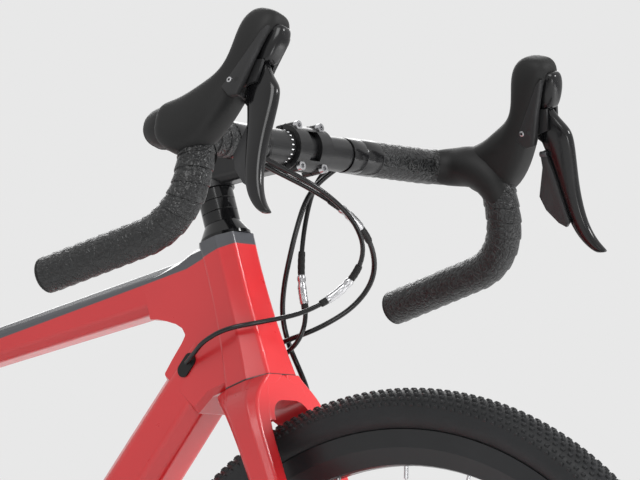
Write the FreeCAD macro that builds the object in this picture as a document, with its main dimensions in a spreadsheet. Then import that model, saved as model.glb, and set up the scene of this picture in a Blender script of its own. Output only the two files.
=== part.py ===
import FreeCAD, Part
import math
import os
import Sketcher
from FreeCAD import Placement, Rotation, Vector

# A gravel bike at its real size, in millimetres.
# The origin lies on the ground halfway between the wheels: +X forward, +Y left, +Z up.

doc = FreeCAD.newDocument("gravel_bike")
sheet = doc.addObject("Spreadsheet::Sheet", "Sizes")
nodes = []


# A named size: its value, and the text that binds a feature to its cell
class Size:
    def __init__(self, value, text):
        self.value = float(value)
        self.text = text

    def __float__(self):
        return self.value

    def joined(self, sign, other, value):
        return Size(value, "(%s %s %s)" % (self.text, sign, text_of(other)))

    def __add__(self, other):
        return self.joined("+", other, self.value + float(other))

    def __sub__(self, other):
        return self.joined("-", other, self.value - float(other))

    def __mul__(self, other):
        return self.joined("*", other, self.value * float(other))

    def __truediv__(self, other):
        return self.joined("/", other, self.value / float(other))

    def __neg__(self):
        return Size(-self.value, "(-1 * %s)" % self.text)

    def __rmul__(self, other):
        return self * other


class Named:
    pass


sz = Named()


def text_of(size):
    return size.text if isinstance(size, Size) else repr(size)


# Sizes in millimetres, angles in degrees
sizes = {
    # Whole bike
    "wheelbase": 1030.0, "wheel_radius": 353.0, "chainstay_length": 430.0, "bracket_drop": 72.0,
    "head_angle": 72.08, "fork_rake": 48.2, "seat_angle": 73.5, "overrun": 2.0, "running_clearance": 0.05,
    "seat_clearance": 0.02, "gap": 0.3,
    # Steering
    "crown_height": 394.0, "head_length": 141.0, "cover_height": 15.0, "spacer_height": 11.0,
    "stem_stack": 40.0, "steerer_radius": 14.3, "spacer_radius": 16.8, "cover_radius": 23.5,
    # Stem and bar
    "stem_reach": 107.2, "stem_drop": 20.6, "bar_clamp_radius": 15.9, "bar_radius": 11.9,
    "tape_radius": 16.7, "bar_half_width": 206.0, "bar_corner": 30.0, "bar_hook": 34.0,
    "bar_hook_drop": 14.0, "bar_drop_radius": 56.0, "bar_flare": 16.0, "bar_tail": 107.0,
    "bar_tail_slope": 13.6, "clamp_half": 56.0, "tape_start": 66.0, "hood_offset": 8.6,
    # Wheels
    "tyre_width": 41.0, "tyre_wall": 2.6, "rim_width": 27.0, "rim_edge": 316.0, "rim_inner": 284.0,
    "rim_wall": 2.0, "bead_radius": 309.5, "axle_radius": 6.0, "front_spacing": 100.0,
    "rear_spacing": 142.0, "rotor_radius": 80.0, "rotor_thickness": 1.8,
    # Drive and seat
    "chain_pitch": 12.7, "chain_plane": 46.5, "chain_half_height": 4.2, "chain_half_width": 2.8,
    "plate_thickness": 1.3, "crank_length": 172.5, "spindle_radius": 12.0, "shell_radius": 21.0,
    "shell_width": 68.0, "cup_reach": 7.0, "post_radius": 13.6, "seat_tube_radius": 16.6,
    "seat_tube_length": 485.0, "saddle_height": 735.0,
    # Frame tubes
    "top_tube_front_height": 114.0, "top_tube_front_back": 18.0, "top_tube_seat_height": 447.0,
    "top_tube_front_width": 42.0, "top_tube_front_depth": 42.0, "top_tube_rear_width": 31.0,
    "top_tube_rear_depth": 28.0, "down_tube_front_height": 43.0, "down_tube_front_back": 36.0,
    "down_tube_width": 55.0, "down_tube_depth": 53.0, "head_bottom_radius": 33.5, "head_top_radius": 26.0,
    "cowl_half": 29.0, "cowl_bevel": 6.0, "upper_bearing_radius": 20.9, "lower_bearing_radius": 26.0,
    "race_radius": 20.0, "bearing_height": 7.0, "boss_radius": 2.1, "boss_depth": 12.0, "boss_pitch": 64.0,
    "down_boss_height": 190.0, "seat_boss_height": 150.0, "boss_pad_radius": 6.0, "boss_pad_height": 1.6,
    # Bores of the frame
    "steerer_bore": 19.0, "post_depth": 210.0, "post_travel": 55.0, "cup_radius": 17.5,
    # Cable ports
    "port_length": 25.0, "port_width": 13.0, "port_depth": 5.0, "port_proud": 1.8, "hose_radius": 2.5,
    "housing_radius": 2.25, "port_back": 58.0, "port_height": 39.0, "low_port_back": 66.0,
    "low_port_height": 19.0,
    # Rear triangle
    "dropout_thickness": 9.0, "dropout_radius": 19.0, "hanger_drop": 30.0, "hanger_back": 8.0,
    "hanger_radius": 11.0, "hanger_bolt": 5.0, "stay_top_height": 385.0, "stay_top_half": 21.0,
    "bridge_radius": 7.0, "chain_stay_width": 12.0, "chain_stay_depth": 36.0, "seat_stay_width": 14.0,
    "seat_stay_depth": 19.0, "caliper_pad": 14.0,
    # Brake calipers
    "caliper_length": 52.0, "caliper_inner": 12.5, "caliper_outer": 14.0, "caliper_height": 30.0,
    "caliper_bridge": 6.0, "caliper_forward": 62.0, "caliper_lift": 6.0, "rear_rotor_inset": 15.5,
    "cup_inside": 22.0,
    # Seatpost and saddle
    "clamp_height": 14.0, "clamp_wall": 4.5, "clamp_lip": 3.0, "clamp_slot": 2.0, "post_head": 668.0,
    "cradle_length": 44.0, "cradle_width": 38.0, "cradle_height": 9.0, "rail_radius": 3.5,
    "rail_half": 22.0, "saddle_length": 272.0, "saddle_width": 146.0, "saddle_depth": 46.0,
    "saddle_forward": 38.0,
    # Fork
    "crown_depth": 58.0, "crown_width": 57.0, "arch_room": 17.0, "arch_half": 26.0, "arch_corner": 18.0,
    "dropout_width": 12.0, "fork_foot": 15.0,
    "front_caliper_height": 58.0, "front_caliper_back": 42.0, "front_rotor_inset": 12.5,
    "eyelet_depth": 10.0,
    # Spacers and stem
    "spacer_bevel": 0.6, "stem_radius": 18.9, "stem_body_width": 34.0, "stem_body_depth": 33.0,
    "bar_clamp_length": 46.0, "bar_clamp_wall": 4.8, "faceplate_gap": 1.5, "stem_bolt": 2.5,
    "bolt_head": 4.2, "bolt_head_height": 4.0, "window_width": 14.0, "window_height": 27.0,
    "bolt_spread_wide": 15.5, "top_cap_height": 5.0, "socket_radius": 2.4, "socket_depth": 2.6,
    # Bar plugs
    "plug_flange": 16.2, "plug_thickness": 4.0,
    # Hoods and levers
    "hood_width": 36.0, "hood_round": 9.0, "body_width": 19.0, "lever_width": 12.5, "paddle_stub": 3.0,
    "paddle_width": 5.0, "paddle_offset": 12.3, "pivot_radius": 3.0, "pivot_ahead": 121.0, "pivot_up": 34.0,
    "paddle_ahead": 118.0, "paddle_up": 10.0, "paddle_barrel": 14.0, "hood_unit": 100.0,
    # Cable fittings
    "sleeve_radius": 4.2, "sleeve_length": 26.0,
    # Hubs and spokes
    "flange_thickness": 3.2, "shell_waist": 12.0, "cap_radius": 9.5, "carrier_radius": 16.0,
    "carrier_length": 6.0, "front_flange": 22.0, "front_left_flange": 21.0, "front_right_flange": 35.0,
    "rear_flange": 25.0, "rear_left_flange": 33.0, "rear_right_flange": 19.0, "driver_radius": 9.0,
    "spoke_radius": 1.0, "nipple_radius": 2.0, "nipple_length": 13.0, "spoke_offset": 1.9,
    "rim_offset": 2.0, "hole_inset": 3.0,
    # Rotors, axles and pads
    "rotor_band": 15.0, "rotor_hub": 21.0, "rotor_hole": 2.6, "rotor_arm": 9.0, "axle_head": 9.0,
    "axle_head_height": 3.0, "pad_thickness": 3.6, "pad_gap": 0.5, "pad_length": 24.0, "pad_height": 18.0,
    "pad_lift": 2.0, "caliper_round": 6.0,
    # Sprockets and rings
    "tooth_rise": 2.8, "tooth_fall": 3.9, "sprocket_thickness": 1.6, "ring_thickness": 2.0,
    "sprocket_pitch": 4.2, "outer_ring_bore": 50.0, "inner_ring_bore": 46.0, "ring_spacing": 7.0,
    "freehub_radius": 17.0, "spider_reach": 54.0, "spider_tab": 7.0, "spider_arm": 14.0, "ring_bolt": 4.5,
    "ring_bolt_height": 2.0,
    # Cranks and pedals
    "arm_root_plane": 56.0, "arm_end_plane": 67.0, "arm_thick": 13.0, "arm_tall": 34.0,
    "arm_end_tall": 25.0, "eye_radius": 13.5, "boss_outer": 19.5, "pedal_axle": 4.6, "pedal_length": 92.0,
    "pedal_width": 88.0, "pedal_thick": 16.0, "pedal_frame": 11.0, "pedal_hub": 9.0, "pedal_flange": 8.0,
    # Rear mech
    "guide_forward": 23.0, "guide_drop": 113.0, "tension_forward": 22.0, "tension_drop": 88.0,
    "link_back": 17.0, "link_drop": 58.0, "link_out": 86.0, "knuckle_forward": 10.0, "knuckle_drop": 91.0,
    "knuckle_out": 66.0, "mech_strut": 6.0, "housing_stop": 4.0, "stop_back": 14.0, "stop_out": 3.0,
    "stop_drop": 12.0, "link_radius": 7.0, "link_half": 11.0, "link_pin": 2.5, "knob_radius": 8.0,
    "knob_length": 10.0, "mech_bolt": 11.0, "link_thick": 8.0, "link_tall": 13.0, "knuckle_radius": 12.0,
    "cage_plate": 1.5, "cage_gap": 3.2, "cage_half": 12.0, "cage_pin": 4.0,
    # Chain pins
    "chain_pin": 1.8,
    # Front mech
    "band_height": 150.0, "band_tall": 13.0, "band_wall": 3.0, "mech_arm": 14.0, "mech_pivot_out": 33.0,
    "mech_pivot_radius": 3.0, "cage_wall": 1.2, "cage_room": 4.4, "cage_lift": 3.2, "cage_tall": 26.0,
    "cage_front": 12.0, "cage_rear": 78.0, "mech_lug": 20.0,
}

# Each size gets a row of the sheet and a named cell
for row, (name, value) in enumerate(sizes.items(), 1):
    sheet.set("A%d" % row, name)
    sheet.set("B%d" % row, repr(value))
    sheet.setAlias("B%d" % row, name)
    setattr(sz, name, Size(value, "Sizes." + name))


def vec(x, y, z):
    return Vector(float(x), float(y), float(z))


UP = vec(0, 0, 1)
LEFT = vec(0, 1, 0)
FORWARD = vec(1, 0, 0)
SIDES = {"right": -1, "left": 1}

bracket_height = float(sz.wheel_radius) - float(sz.bracket_drop)
stay_run = math.sqrt(float(sz.chainstay_length) ** 2 - float(sz.bracket_drop) ** 2)
rear_axle = vec(-0.5 * sz.wheelbase, 0, sz.wheel_radius)
front_axle = vec(0.5 * sz.wheelbase, 0, sz.wheel_radius)
bracket = vec(rear_axle.x + stay_run, 0, bracket_height)

# The steering frame: its Z runs up the steerer, its X forward, and its origin lies beside the front axle
steer_turn = Rotation(LEFT, float(sz.head_angle) - 90)
steer_origin = front_axle - steer_turn.multVec(FORWARD) * float(sz.fork_rake)
steer = Placement(steer_origin, steer_turn)
head_top = sz.crown_height + sz.head_length
stem_bottom = head_top + sz.cover_height + 3 * sz.spacer_height
stem_middle = stem_bottom + sz.stem_stack / 2
bar_centre = steer.multVec(vec(sz.stem_reach, 0, stem_middle - sz.stem_drop))

# The seat frame: its Z runs up the seat tube from the bottom bracket
seat = Placement(bracket, Rotation(LEFT, float(sz.seat_angle) - 90))


def mirrored(point):
    return vec(point.x, -point.y, point.z)


def bind(thing, **values):
    for name, value in values.items():
        if isinstance(value, Size):
            thing.setExpression(name, value.text)
        setattr(thing, name, float(value))


def keep(thing, label):
    thing.Label = label
    nodes.append(thing)
    return thing


def solid(name, shape):
    thing = doc.addObject("Part::Feature", name)
    thing.Shape = shape
    return thing


def group(name, things):
    thing = doc.addObject("Part::Compound", name)
    thing.Links = things
    return thing


def fuse(name, things):
    thing = doc.addObject("Part::MultiFuse", name)
    thing.Shapes = things
    return thing


def cut(name, base, tool):
    thing = doc.addObject("Part::Cut", name)
    thing.Base = base
    thing.Tool = tool
    return thing


def cylinder(name, radius, height, base, direction):
    thing = doc.addObject("Part::Cylinder", name)
    bind(thing, Radius=radius, Height=height)
    thing.Placement = Placement(base, Rotation(UP, direction))
    return thing


def block(name, length, width, height, place):
    thing = doc.addObject("Part::Box", name)
    bind(thing, Length=length, Width=width, Height=height)
    thing.Placement = place
    return thing


# A closed outline of straight lines in a sketch, each corner bound to the sheet
def outline(body, name, points):
    sketch = body.newObject("Sketcher::SketchObject", name)
    planes = [plane for plane in body.Origin.OriginFeatures if plane.Role == "XY_Plane"]
    sketch.AttachmentSupport = [(planes[0], "")]
    sketch.MapMode = "FlatFace"
    corners = [vec(x, y, 0) for x, y in points]
    count = len(corners)
    for i in range(count):
        sketch.addGeometry(Part.LineSegment(corners[i], corners[(i + 1) % count]), False)
    for i in range(count):
        sketch.addConstraint(Sketcher.Constraint("Coincident", i, 2, (i + 1) % count, 1))
    for i, corner in enumerate(points):
        for kind, size in zip(("DistanceX", "DistanceY"), corner):
            index = sketch.addConstraint(Sketcher.Constraint(kind, -1, 1, i, 1, float(size)))
            if isinstance(size, Size):
                sketch.setExpression("Constraints[%d]" % index, size.text)
    return sketch


# A turned piece: the points give the distance along the axis and the radius
def turned(name, points, place):
    body = doc.addObject("PartDesign::Body", name)
    sketch = outline(body, name + "_profile", points)
    spin = body.newObject("PartDesign::Revolution", name + "_turn")
    spin.Profile = sketch
    spin.ReferenceAxis = (sketch, ["H_Axis"])
    spin.Angle = 360
    body.Placement = place
    return body


# Turns a piece's X axis to the row's Y axis
across = Rotation(UP, 90)
up_the_axis = steer_turn.multiply(Rotation(LEFT, -90))


# A ring of straight edges and corner arcs
def rounded(points, radius):
    edges = []
    ends = []
    count = len(points)
    for i in range(count):
        corner = points[i]
        back = (points[i - 1] - corner).normalize()
        ahead = (points[(i + 1) % count] - corner).normalize()
        half = back.getAngle(ahead) / 2
        reach = radius / math.tan(half)
        middle = (back + ahead).normalize()
        centre = corner + middle * (radius / math.sin(half))
        ends.append((corner + back * reach, centre - middle * radius, corner + ahead * reach))
    for i in range(count):
        edges.append(Part.Arc(*ends[i]).toShape())
        edges.append(Part.LineSegment(ends[i][2], ends[(i + 1) % count][0]).toShape())
    return Part.Wire(edges)


# An eight-sided tube section, rounded at its corners; the chamfer is a share of each half size
chamfer_share = 0.42
corner_share = 0.16


def section(centre, wide, tall, half_wide, half_tall, chamfer=chamfer_share):
    cut_wide = half_wide * (1 - chamfer)
    cut_tall = half_tall * (1 - chamfer)
    signs = ((1, 1, 0), (1, 1, 1), (-1, 1, 1), (-1, 1, 0), (-1, -1, 0), (-1, -1, 1), (1, -1, 1), (1, -1, 0))
    corners = []
    for across_sign, up_sign, flat in signs:
        right = across_sign * (cut_wide if flat else half_wide)
        high = up_sign * (half_tall if flat else cut_tall)
        corners.append(centre + wide * right + tall * high)
    return rounded(corners, corner_share * 2 * min(half_wide, half_tall))


def loft(wires, ruled=False):
    return Part.makeLoft(wires, True, ruled)


# Sections across a tube from the points of its middle line; the widths lie across the bike
def tube(points, widths, depths, chamfer=chamfer_share):
    wires = []
    last = len(points) - 1
    for i, point in enumerate(points):
        along = (points[min(i + 1, last)] - points[max(i - 1, 0)]).normalize()
        tall = along.cross(LEFT).normalize()
        wires.append(section(point, LEFT, tall, widths[i] / 2, depths[i] / 2, chamfer))
    return loft(wires)


def rod(start, end, radius):
    run = end - start
    return Part.makeCylinder(radius, run.Length, start, run)


# A path of straight runs and tangent arcs, each arc as large as its runs allow
bend_share = 0.45


def route(points, name):
    edges = []
    start = points[0]
    radii = []
    for i in range(1, len(points) - 1):
        back = points[i - 1] - points[i]
        ahead = points[i + 1] - points[i]
        half = back.getAngle(ahead) / 2
        reach = bend_share * min(back.Length, ahead.Length)
        back.normalize()
        ahead.normalize()
        radius = reach * math.tan(half)
        radii.append(round(radius))
        middle = (back + ahead).normalize()
        crest = points[i] + middle * (radius / math.sin(half) - radius)
        edges.append(Part.LineSegment(start, points[i] + back * reach).toShape())
        edges.append(Part.Arc(points[i] + back * reach, crest, points[i] + ahead * reach).toShape())
        start = points[i] + ahead * reach
    edges.append(Part.LineSegment(start, points[-1]).toShape())
    print(name, "bend radii", radii)
    return Part.Wire(edges)


def hose(points, radius, name):
    path = route(points, name)
    start = points[0]
    ring = Part.Wire(Part.Circle(start, points[1] - start, radius).toShape())
    shape = path.makePipeShell([ring], True, False)
    ideal = math.pi * radius ** 2 * path.Length
    print(name, "length", round(path.Length), "volume share", round(shape.Volume / ideal, 4))
    return shape


# Frame

# The head tube's section in the steering frame: front facet, two side facets and a flat back
facet_angles = (36.0, 74.0, 116.0, 152.0)
facet_shares = (1.0, 1.0, 1.06, 1.02)
head_corner_share = 0.16


def head_section(radius, height):
    corners = []
    for angle, share in zip(facet_angles, facet_shares):
        turn = math.radians(angle)
        corners.append((radius * share * math.cos(turn), radius * share * math.sin(turn)))
    whole = corners + [(x, -y) for x, y in reversed(corners)]
    return rounded([vec(x, y, height) for x, y in whole], radius * head_corner_share)


low = float(sz.crown_height)
high = float(head_top)
swell_share = 0.35
head_middle = low + swell_share * (high - low)
middle_share = 0.7
middle_radius = float(sz.head_top_radius) * middle_share + float(sz.head_bottom_radius) * (1 - middle_share)
head_tube = loft([head_section(float(sz.head_bottom_radius), low + float(sz.gap)),
                  head_section(middle_radius, head_middle),
                  head_section(float(sz.head_top_radius), high)])
head_tube.Placement = steer

top_front = steer.multVec(vec(-sz.top_tube_front_back, 0, sz.crown_height + sz.top_tube_front_height))
top_rear = seat.multVec(vec(0, 0, sz.top_tube_seat_height))
half_way = 0.5
top_middle = top_front * (1 - half_way) + top_rear * half_way
mean_share = 0.42
top_tube = tube([top_front, top_middle, top_rear],
                [float(sz.top_tube_front_width),
                 float(sz.top_tube_front_width) * mean_share + float(sz.top_tube_rear_width) * (1 - mean_share),
                 float(sz.top_tube_rear_width)],
                [float(sz.top_tube_front_depth),
                 float(sz.top_tube_front_depth) * mean_share + float(sz.top_tube_rear_depth) * (1 - mean_share),
                 float(sz.top_tube_rear_depth)])
down_front = steer.multVec(vec(-sz.down_tube_front_back, 0, sz.crown_height + sz.down_tube_front_height))
down_front_share = 0.93
down_end_share = 0.72
down_tube = tube([down_front, down_front * half_way + bracket * half_way, bracket],
                 [float(sz.down_tube_width) * share for share in (down_front_share, 1, 1)],
                 [float(sz.down_tube_depth) * share for share in (1, 1, down_end_share)])
top_line = (top_rear - top_front).normalize()
down_line = (bracket - down_front).normalize()

# The cowl where head, top and down tube flow into one: its side outline ahead and up, in head lengths
cowl_shares = ((0.0, 0.986), (-0.184, 0.993), (-0.32, 0.968), (-0.504, 0.962), (-0.681, 0.972),
               (-0.681, 0.69), (-0.61, 0.667), (-0.544, 0.631), (-0.454, 0.574), (-0.404, 0.525),
               (-0.387, 0.468), (-0.433, 0.426), (-0.553, 0.344), (-0.652, 0.27), (-0.44, -0.05),
               (-0.284, 0.018), (0.0, 0.018))
cowl_middle_share = (-0.25, 0.53)
cowl_inset_share = 0.93
cowl_round_share = 0.018


# One outline of the cowl, drawn in towards its middle by a share, with its sides spread as flat slanted faces
def cowl_wire(side, inward, share):
    corners = []
    for ahead, up in cowl_shares:
        x = cowl_middle_share[0] + (ahead - cowl_middle_share[0]) * share
        z = cowl_middle_share[1] + (up - cowl_middle_share[1]) * share
        head = float(sz.head_length)
        spread = float(sz.cowl_half) + head * (x * cowl_back_share - z * cowl_up_share) - inward
        corners.append(steer.multVec(vec(x * head, side * spread, sz.crown_height + z * head)))
    return rounded(corners, float(sz.head_length) * cowl_round_share)


cowl_back_share = 0.028
cowl_up_share = 0.05
cowl_bevel = float(sz.cowl_bevel)
cowl = loft([cowl_wire(1, 0, cowl_inset_share), cowl_wire(1, cowl_bevel, 1), cowl_wire(-1, cowl_bevel, 1),
             cowl_wire(-1, 0, cowl_inset_share)], True)

seat_tube = rod(bracket, seat.multVec(vec(0, 0, sz.seat_tube_length)), float(sz.seat_tube_radius))
shell_half = LEFT * (float(sz.shell_width) / 2)
shell = rod(bracket - shell_half, bracket + shell_half, float(sz.shell_radius))
frame_shape = head_tube.multiFuse([top_tube, down_tube, cowl, seat_tube, shell])


# Where the four bottle bolts go: their faces and the way out of the tube
def boss_places():
    places = []
    for step in (-half_way, half_way):
        along = float(sz.down_boss_height) + step * float(sz.boss_pitch)
        out = down_line.cross(LEFT).normalize()
        out = out if out.z > 0 else out * -1
        places.append((bracket - down_line * along + out * (float(sz.down_tube_depth) / 2), out))
        high_up = vec(sz.seat_tube_radius, 0, float(sz.seat_boss_height) + step * float(sz.boss_pitch))
        places.append((seat.multVec(high_up), seat.Rotation.multVec(FORWARD)))
    return places


for face, out in boss_places():
    pad_height = float(sz.boss_pad_height)
    root = face - out * pad_height * 2
    frame_shape = frame_shape.fuse(rod(root, face + out * pad_height, float(sz.boss_pad_radius)))
for face, out in boss_places():
    inside = face - out * (float(sz.boss_depth) - float(sz.boss_pad_height))
    frame_shape = frame_shape.cut(rod(inside, face + out * float(sz.boss_depth), float(sz.boss_radius)))

# Bores: steerer, both bearing seats, seatpost and bottom bracket


def steer_rod(start, end, radius):
    return rod(steer.multVec(vec(0, 0, start)), steer.multVec(vec(0, 0, end)), float(radius))


extra = float(sz.overrun)
bearing = float(sz.bearing_height)
frame_shape = frame_shape.cut(steer_rod(low - extra, high + extra, sz.steerer_bore))
frame_shape = frame_shape.cut(steer_rod(low - extra, low + bearing + float(sz.gap), sz.lower_bearing_radius))
frame_shape = frame_shape.cut(steer_rod(high - bearing, high + extra, sz.upper_bearing_radius))
seat_top = float(sz.seat_tube_length)
post_low = seat_top - float(sz.post_depth) - float(sz.post_travel)
post_bore = float(sz.post_radius) + float(sz.running_clearance)
post_ends = [seat.multVec(vec(0, 0, height)) for height in (post_low, seat_top + extra)]
frame_shape = frame_shape.cut(rod(post_ends[0], post_ends[1], post_bore))
frame_shape = frame_shape.cut(rod(bracket - shell_half * 2, bracket + shell_half * 2, float(sz.cup_radius)))

# Cable ports: two on the left for the hose and the front shift line, one on the right


def port_place(side, back, height):
    level = steer.multVec(vec(-back, 0, sz.crown_height + height))
    return vec(level.x, side * (float(sz.down_tube_width) * down_front_share / 2), level.z)


port_seats = [port_place(-1, sz.port_back, sz.port_height),
              port_place(1, sz.port_back, sz.port_height),
              port_place(1, sz.low_port_back, sz.low_port_height)]


def port_plug(middle, shrink):
    side = math.copysign(1, middle.y)
    run = down_line * ((float(sz.port_length) - float(sz.port_width)) / 2)
    radius = float(sz.port_width) / 2 - shrink
    inner = LEFT * (side * float(sz.port_depth))
    outer = LEFT * (side * float(sz.port_proud))
    ends = [rod(middle + end - inner, middle + end + outer, radius) for end in (run, run * -1)]
    slab = Part.makeBox(run.Length * 2, (inner + outer).Length, radius * 2)
    slab.translate(vec(-run.Length, -(inner + outer).Length / 2, -radius))
    tilt = Rotation(FORWARD, down_line)
    slab.Placement = Placement(middle + (outer - inner) * half_way, tilt).multiply(slab.Placement)
    return ends[0].multiFuse([ends[1], slab]).removeSplitter()


for seat_place in port_seats:
    frame_shape = frame_shape.cut(port_plug(seat_place, 0))
frame = keep(solid("front_frame", frame_shape.removeSplitter()), "front_frame")
plugs = [port_plug(seat_place, float(sz.seat_clearance)) for seat_place in port_seats]
keep(solid("cable_ports", Part.makeCompound(plugs)), "cable_ports")

# Rear triangle
# Places along a chain stay as shares of its run, then shares of the half spacing and of the root's section
stay_shares = (0.03, 0.175, 0.27, 0.5, 0.82, 0.955)
spread_shares = (0.373, 0.437, 0.514, 0.683, 0.958, 1.061)
stay_width_shares = (1.0, 0.75, 1.0, 1.167, 1.083, 0.75)
stay_depth_shares = (1.0, 0.944, 0.833, 0.694, 0.639, 0.667)
taper_share = 0.7
rear_parts = []
drop_inner = float(sz.rear_spacing) / 2
drop_middle = drop_inner + float(sz.dropout_thickness) / 2
stay_line = rear_axle - bracket
for side in SIDES.values():
    places = []
    for share, spread in zip(stay_shares, spread_shares):
        point = bracket + stay_line * share
        places.append(vec(point.x, side * spread * drop_inner, point.z))
    rear_parts.append(tube(places, [share * float(sz.chain_stay_width) for share in stay_width_shares],
                           [share * float(sz.chain_stay_depth) for share in stay_depth_shares]))
    crown = seat.multVec(vec(-sz.seat_tube_radius / 2, side * sz.stay_top_half, sz.stay_top_height))
    foot = rear_axle + vec(sz.hanger_back, side * drop_middle, sz.dropout_radius)
    wide = float(sz.seat_stay_width)
    deep = float(sz.seat_stay_depth)
    rear_parts.append(tube([crown, crown * half_way + foot * half_way, foot],
                           [wide, wide, wide * taper_share], [deep, deep * taper_share, deep * taper_share]))
    inner = rear_axle + LEFT * (side * drop_inner)
    rear_parts.append(rod(inner, inner + LEFT * (side * float(sz.dropout_thickness)), float(sz.dropout_radius)))
crown_left = seat.multVec(vec(-sz.seat_tube_radius / 2, sz.stay_top_half, sz.stay_top_height))
rear_parts.append(rod(mirrored(crown_left), crown_left, float(sz.bridge_radius)))
hanger_place = rear_axle + vec(-sz.hanger_back, -drop_inner, -sz.hanger_drop)
hanger_end = hanger_place - LEFT * float(sz.dropout_thickness)
rear_parts.append(rod(hanger_place, hanger_end, float(sz.hanger_radius)))
hanger_web = Part.makeBox(2 * float(sz.hanger_radius), float(sz.dropout_thickness), float(sz.hanger_drop))
hanger_web.translate(vec(hanger_place.x - float(sz.hanger_radius), hanger_end.y, hanger_place.z))
rear_parts.append(hanger_web)
rear_shape = rear_parts[0].multiFuse(rear_parts[1:])

# The flat seat for the rear caliper, on top of the left chain stay
rear_rotor_plane = drop_inner - float(sz.rear_rotor_inset)
seat_low = rear_axle + vec(sz.caliper_forward, 0, sz.caliper_lift - sz.caliper_pad)
pad_start = rear_rotor_plane + 4 * float(sz.rotor_thickness)
pad_shape = Part.makeBox(float(sz.caliper_length), float(sz.caliper_outer) - 4 * float(sz.rotor_thickness),
                         float(sz.caliper_pad))
pad_shape.translate(vec(seat_low.x - float(sz.caliper_length) / 2, pad_start, seat_low.z))
rear_shape = rear_shape.fuse(pad_shape)
axle_hole = float(sz.axle_radius) + float(sz.seat_clearance)
axle_room = LEFT * (2 * drop_inner)
rear_shape = rear_shape.cut(rod(rear_axle - axle_room, rear_axle + axle_room, axle_hole))
hanger_hole = hanger_place + LEFT * extra
hanger_bore = float(sz.hanger_bolt) + float(sz.seat_clearance)
rear_shape = rear_shape.cut(rod(hanger_hole, hanger_end - LEFT * extra, hanger_bore))
shell_room = rod(bracket - shell_half, bracket + shell_half, float(sz.shell_radius))
post_room = rod(bracket, seat.multVec(vec(0, 0, sz.seat_tube_length)), float(sz.seat_tube_radius))
rear_shape = rear_shape.cut(shell_room).cut(post_room)
largest = max(rear_shape.Solids, key=lambda piece: piece.Volume)
rear_solids = [piece for piece in rear_shape.Solids if piece.Volume > largest.Volume / 100]
keep(solid("rear_triangle", Part.makeCompound(rear_solids)), "rear_triangle")

# Bearings: two headset rings and two bottom bracket cups


def ring(name, start, end, inner, outer, place):
    return turned(name, [(start, inner), (end, inner), (end, outer), (start, outer)], place)


along_steerer = Placement(steer_origin, up_the_axis)
lower_ring = ring("lower_bearing", sz.crown_height + sz.gap, sz.crown_height + sz.bearing_height + sz.gap,
                  sz.race_radius + sz.running_clearance, sz.lower_bearing_radius - sz.seat_clearance,
                  along_steerer)
upper_ring = ring("upper_bearing", head_top - sz.bearing_height, head_top,
                  sz.steerer_radius + sz.running_clearance, sz.upper_bearing_radius - sz.seat_clearance,
                  along_steerer)
cup_bore = sz.spindle_radius + sz.running_clearance
cup_body = sz.cup_radius - sz.seat_clearance
cup_face = sz.shell_width / 2
cup_end = cup_face + sz.cup_reach
cups = []
for name, side in SIDES.items():
    turn = across if side > 0 else Rotation(UP, -90)
    cups.append(turned(name + "_cup", [(cup_face - sz.cup_inside, cup_bore), (cup_end, cup_bore),
                                       (cup_end, sz.shell_radius), (cup_face, sz.shell_radius),
                                       (cup_face, cup_body), (cup_face - sz.cup_inside, cup_body)],
                       Placement(bracket, turn)))
keep(group("frame_bearings", [lower_ring, upper_ring] + cups), "frame_bearings")

# Seat clamp, post and saddle
collar_bore = sz.seat_tube_radius + sz.seat_clearance
post_hole = sz.post_radius + sz.running_clearance
collar_outer = sz.seat_tube_radius + sz.clamp_wall
up_the_seat = Placement(bracket, seat.Rotation.multiply(Rotation(LEFT, -90)))
collar = turned("seat_collar", [(sz.seat_tube_length - sz.clamp_height, collar_bore),
                                (sz.seat_tube_length, collar_bore),
                                (sz.seat_tube_length, post_hole),
                                (sz.seat_tube_length + sz.clamp_lip, post_hole),
                                (sz.seat_tube_length + sz.clamp_lip, collar_outer),
                                (sz.seat_tube_length - sz.clamp_height, collar_outer)], up_the_seat)
ear_place = seat.multiply(Placement(vec(-sz.seat_tube_radius - 3 * sz.clamp_wall, -sz.clamp_wall * 2,
                                        sz.seat_tube_length - sz.clamp_height), Rotation()))
ear = block("seat_clamp_ear", 3 * sz.clamp_wall, 4 * sz.clamp_wall, sz.clamp_height, ear_place)
ear_room = cylinder("seat_clamp_room", collar_bore, sz.clamp_height * 2,
                    seat.multVec(vec(0, 0, sz.seat_tube_length - 1.5 * sz.clamp_height)),
                    seat.Rotation.multVec(UP))
keep(fuse("seat_clamp", [collar, cut("seat_clamp_back", ear, ear_room)]), "seat_clamp")

post_length = sz.post_head - sz.seat_tube_length + sz.post_depth - sz.clamp_height
post = cylinder("post_tube", sz.post_radius, post_length,
                seat.multVec(vec(0, 0, sz.post_head - post_length)), seat.Rotation.multVec(UP))
head_place = seat.multVec(vec(0, 0, sz.post_head))
cradle_place = Placement(head_place + vec(-sz.cradle_length / 2, -sz.cradle_width / 2, 0), Rotation())
cradle = block("post_head", sz.cradle_length, sz.cradle_width, sz.cradle_height, cradle_place)
rail_height = head_place.z + float(sz.cradle_height) + float(sz.rail_radius) / 2
# The rails: lower run in the clamp, then up to the nose and up to the tail
saddle_top = bracket.z + float(sz.saddle_height) * math.sin(math.radians(float(sz.seat_angle)))
saddle_base = saddle_top - float(sz.saddle_depth)
nose_x = head_place.x + float(sz.saddle_length) / 2 + float(sz.saddle_forward) / 2
tail_x = nose_x - float(sz.saddle_length)
rail_rise = saddle_base - rail_height
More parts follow.
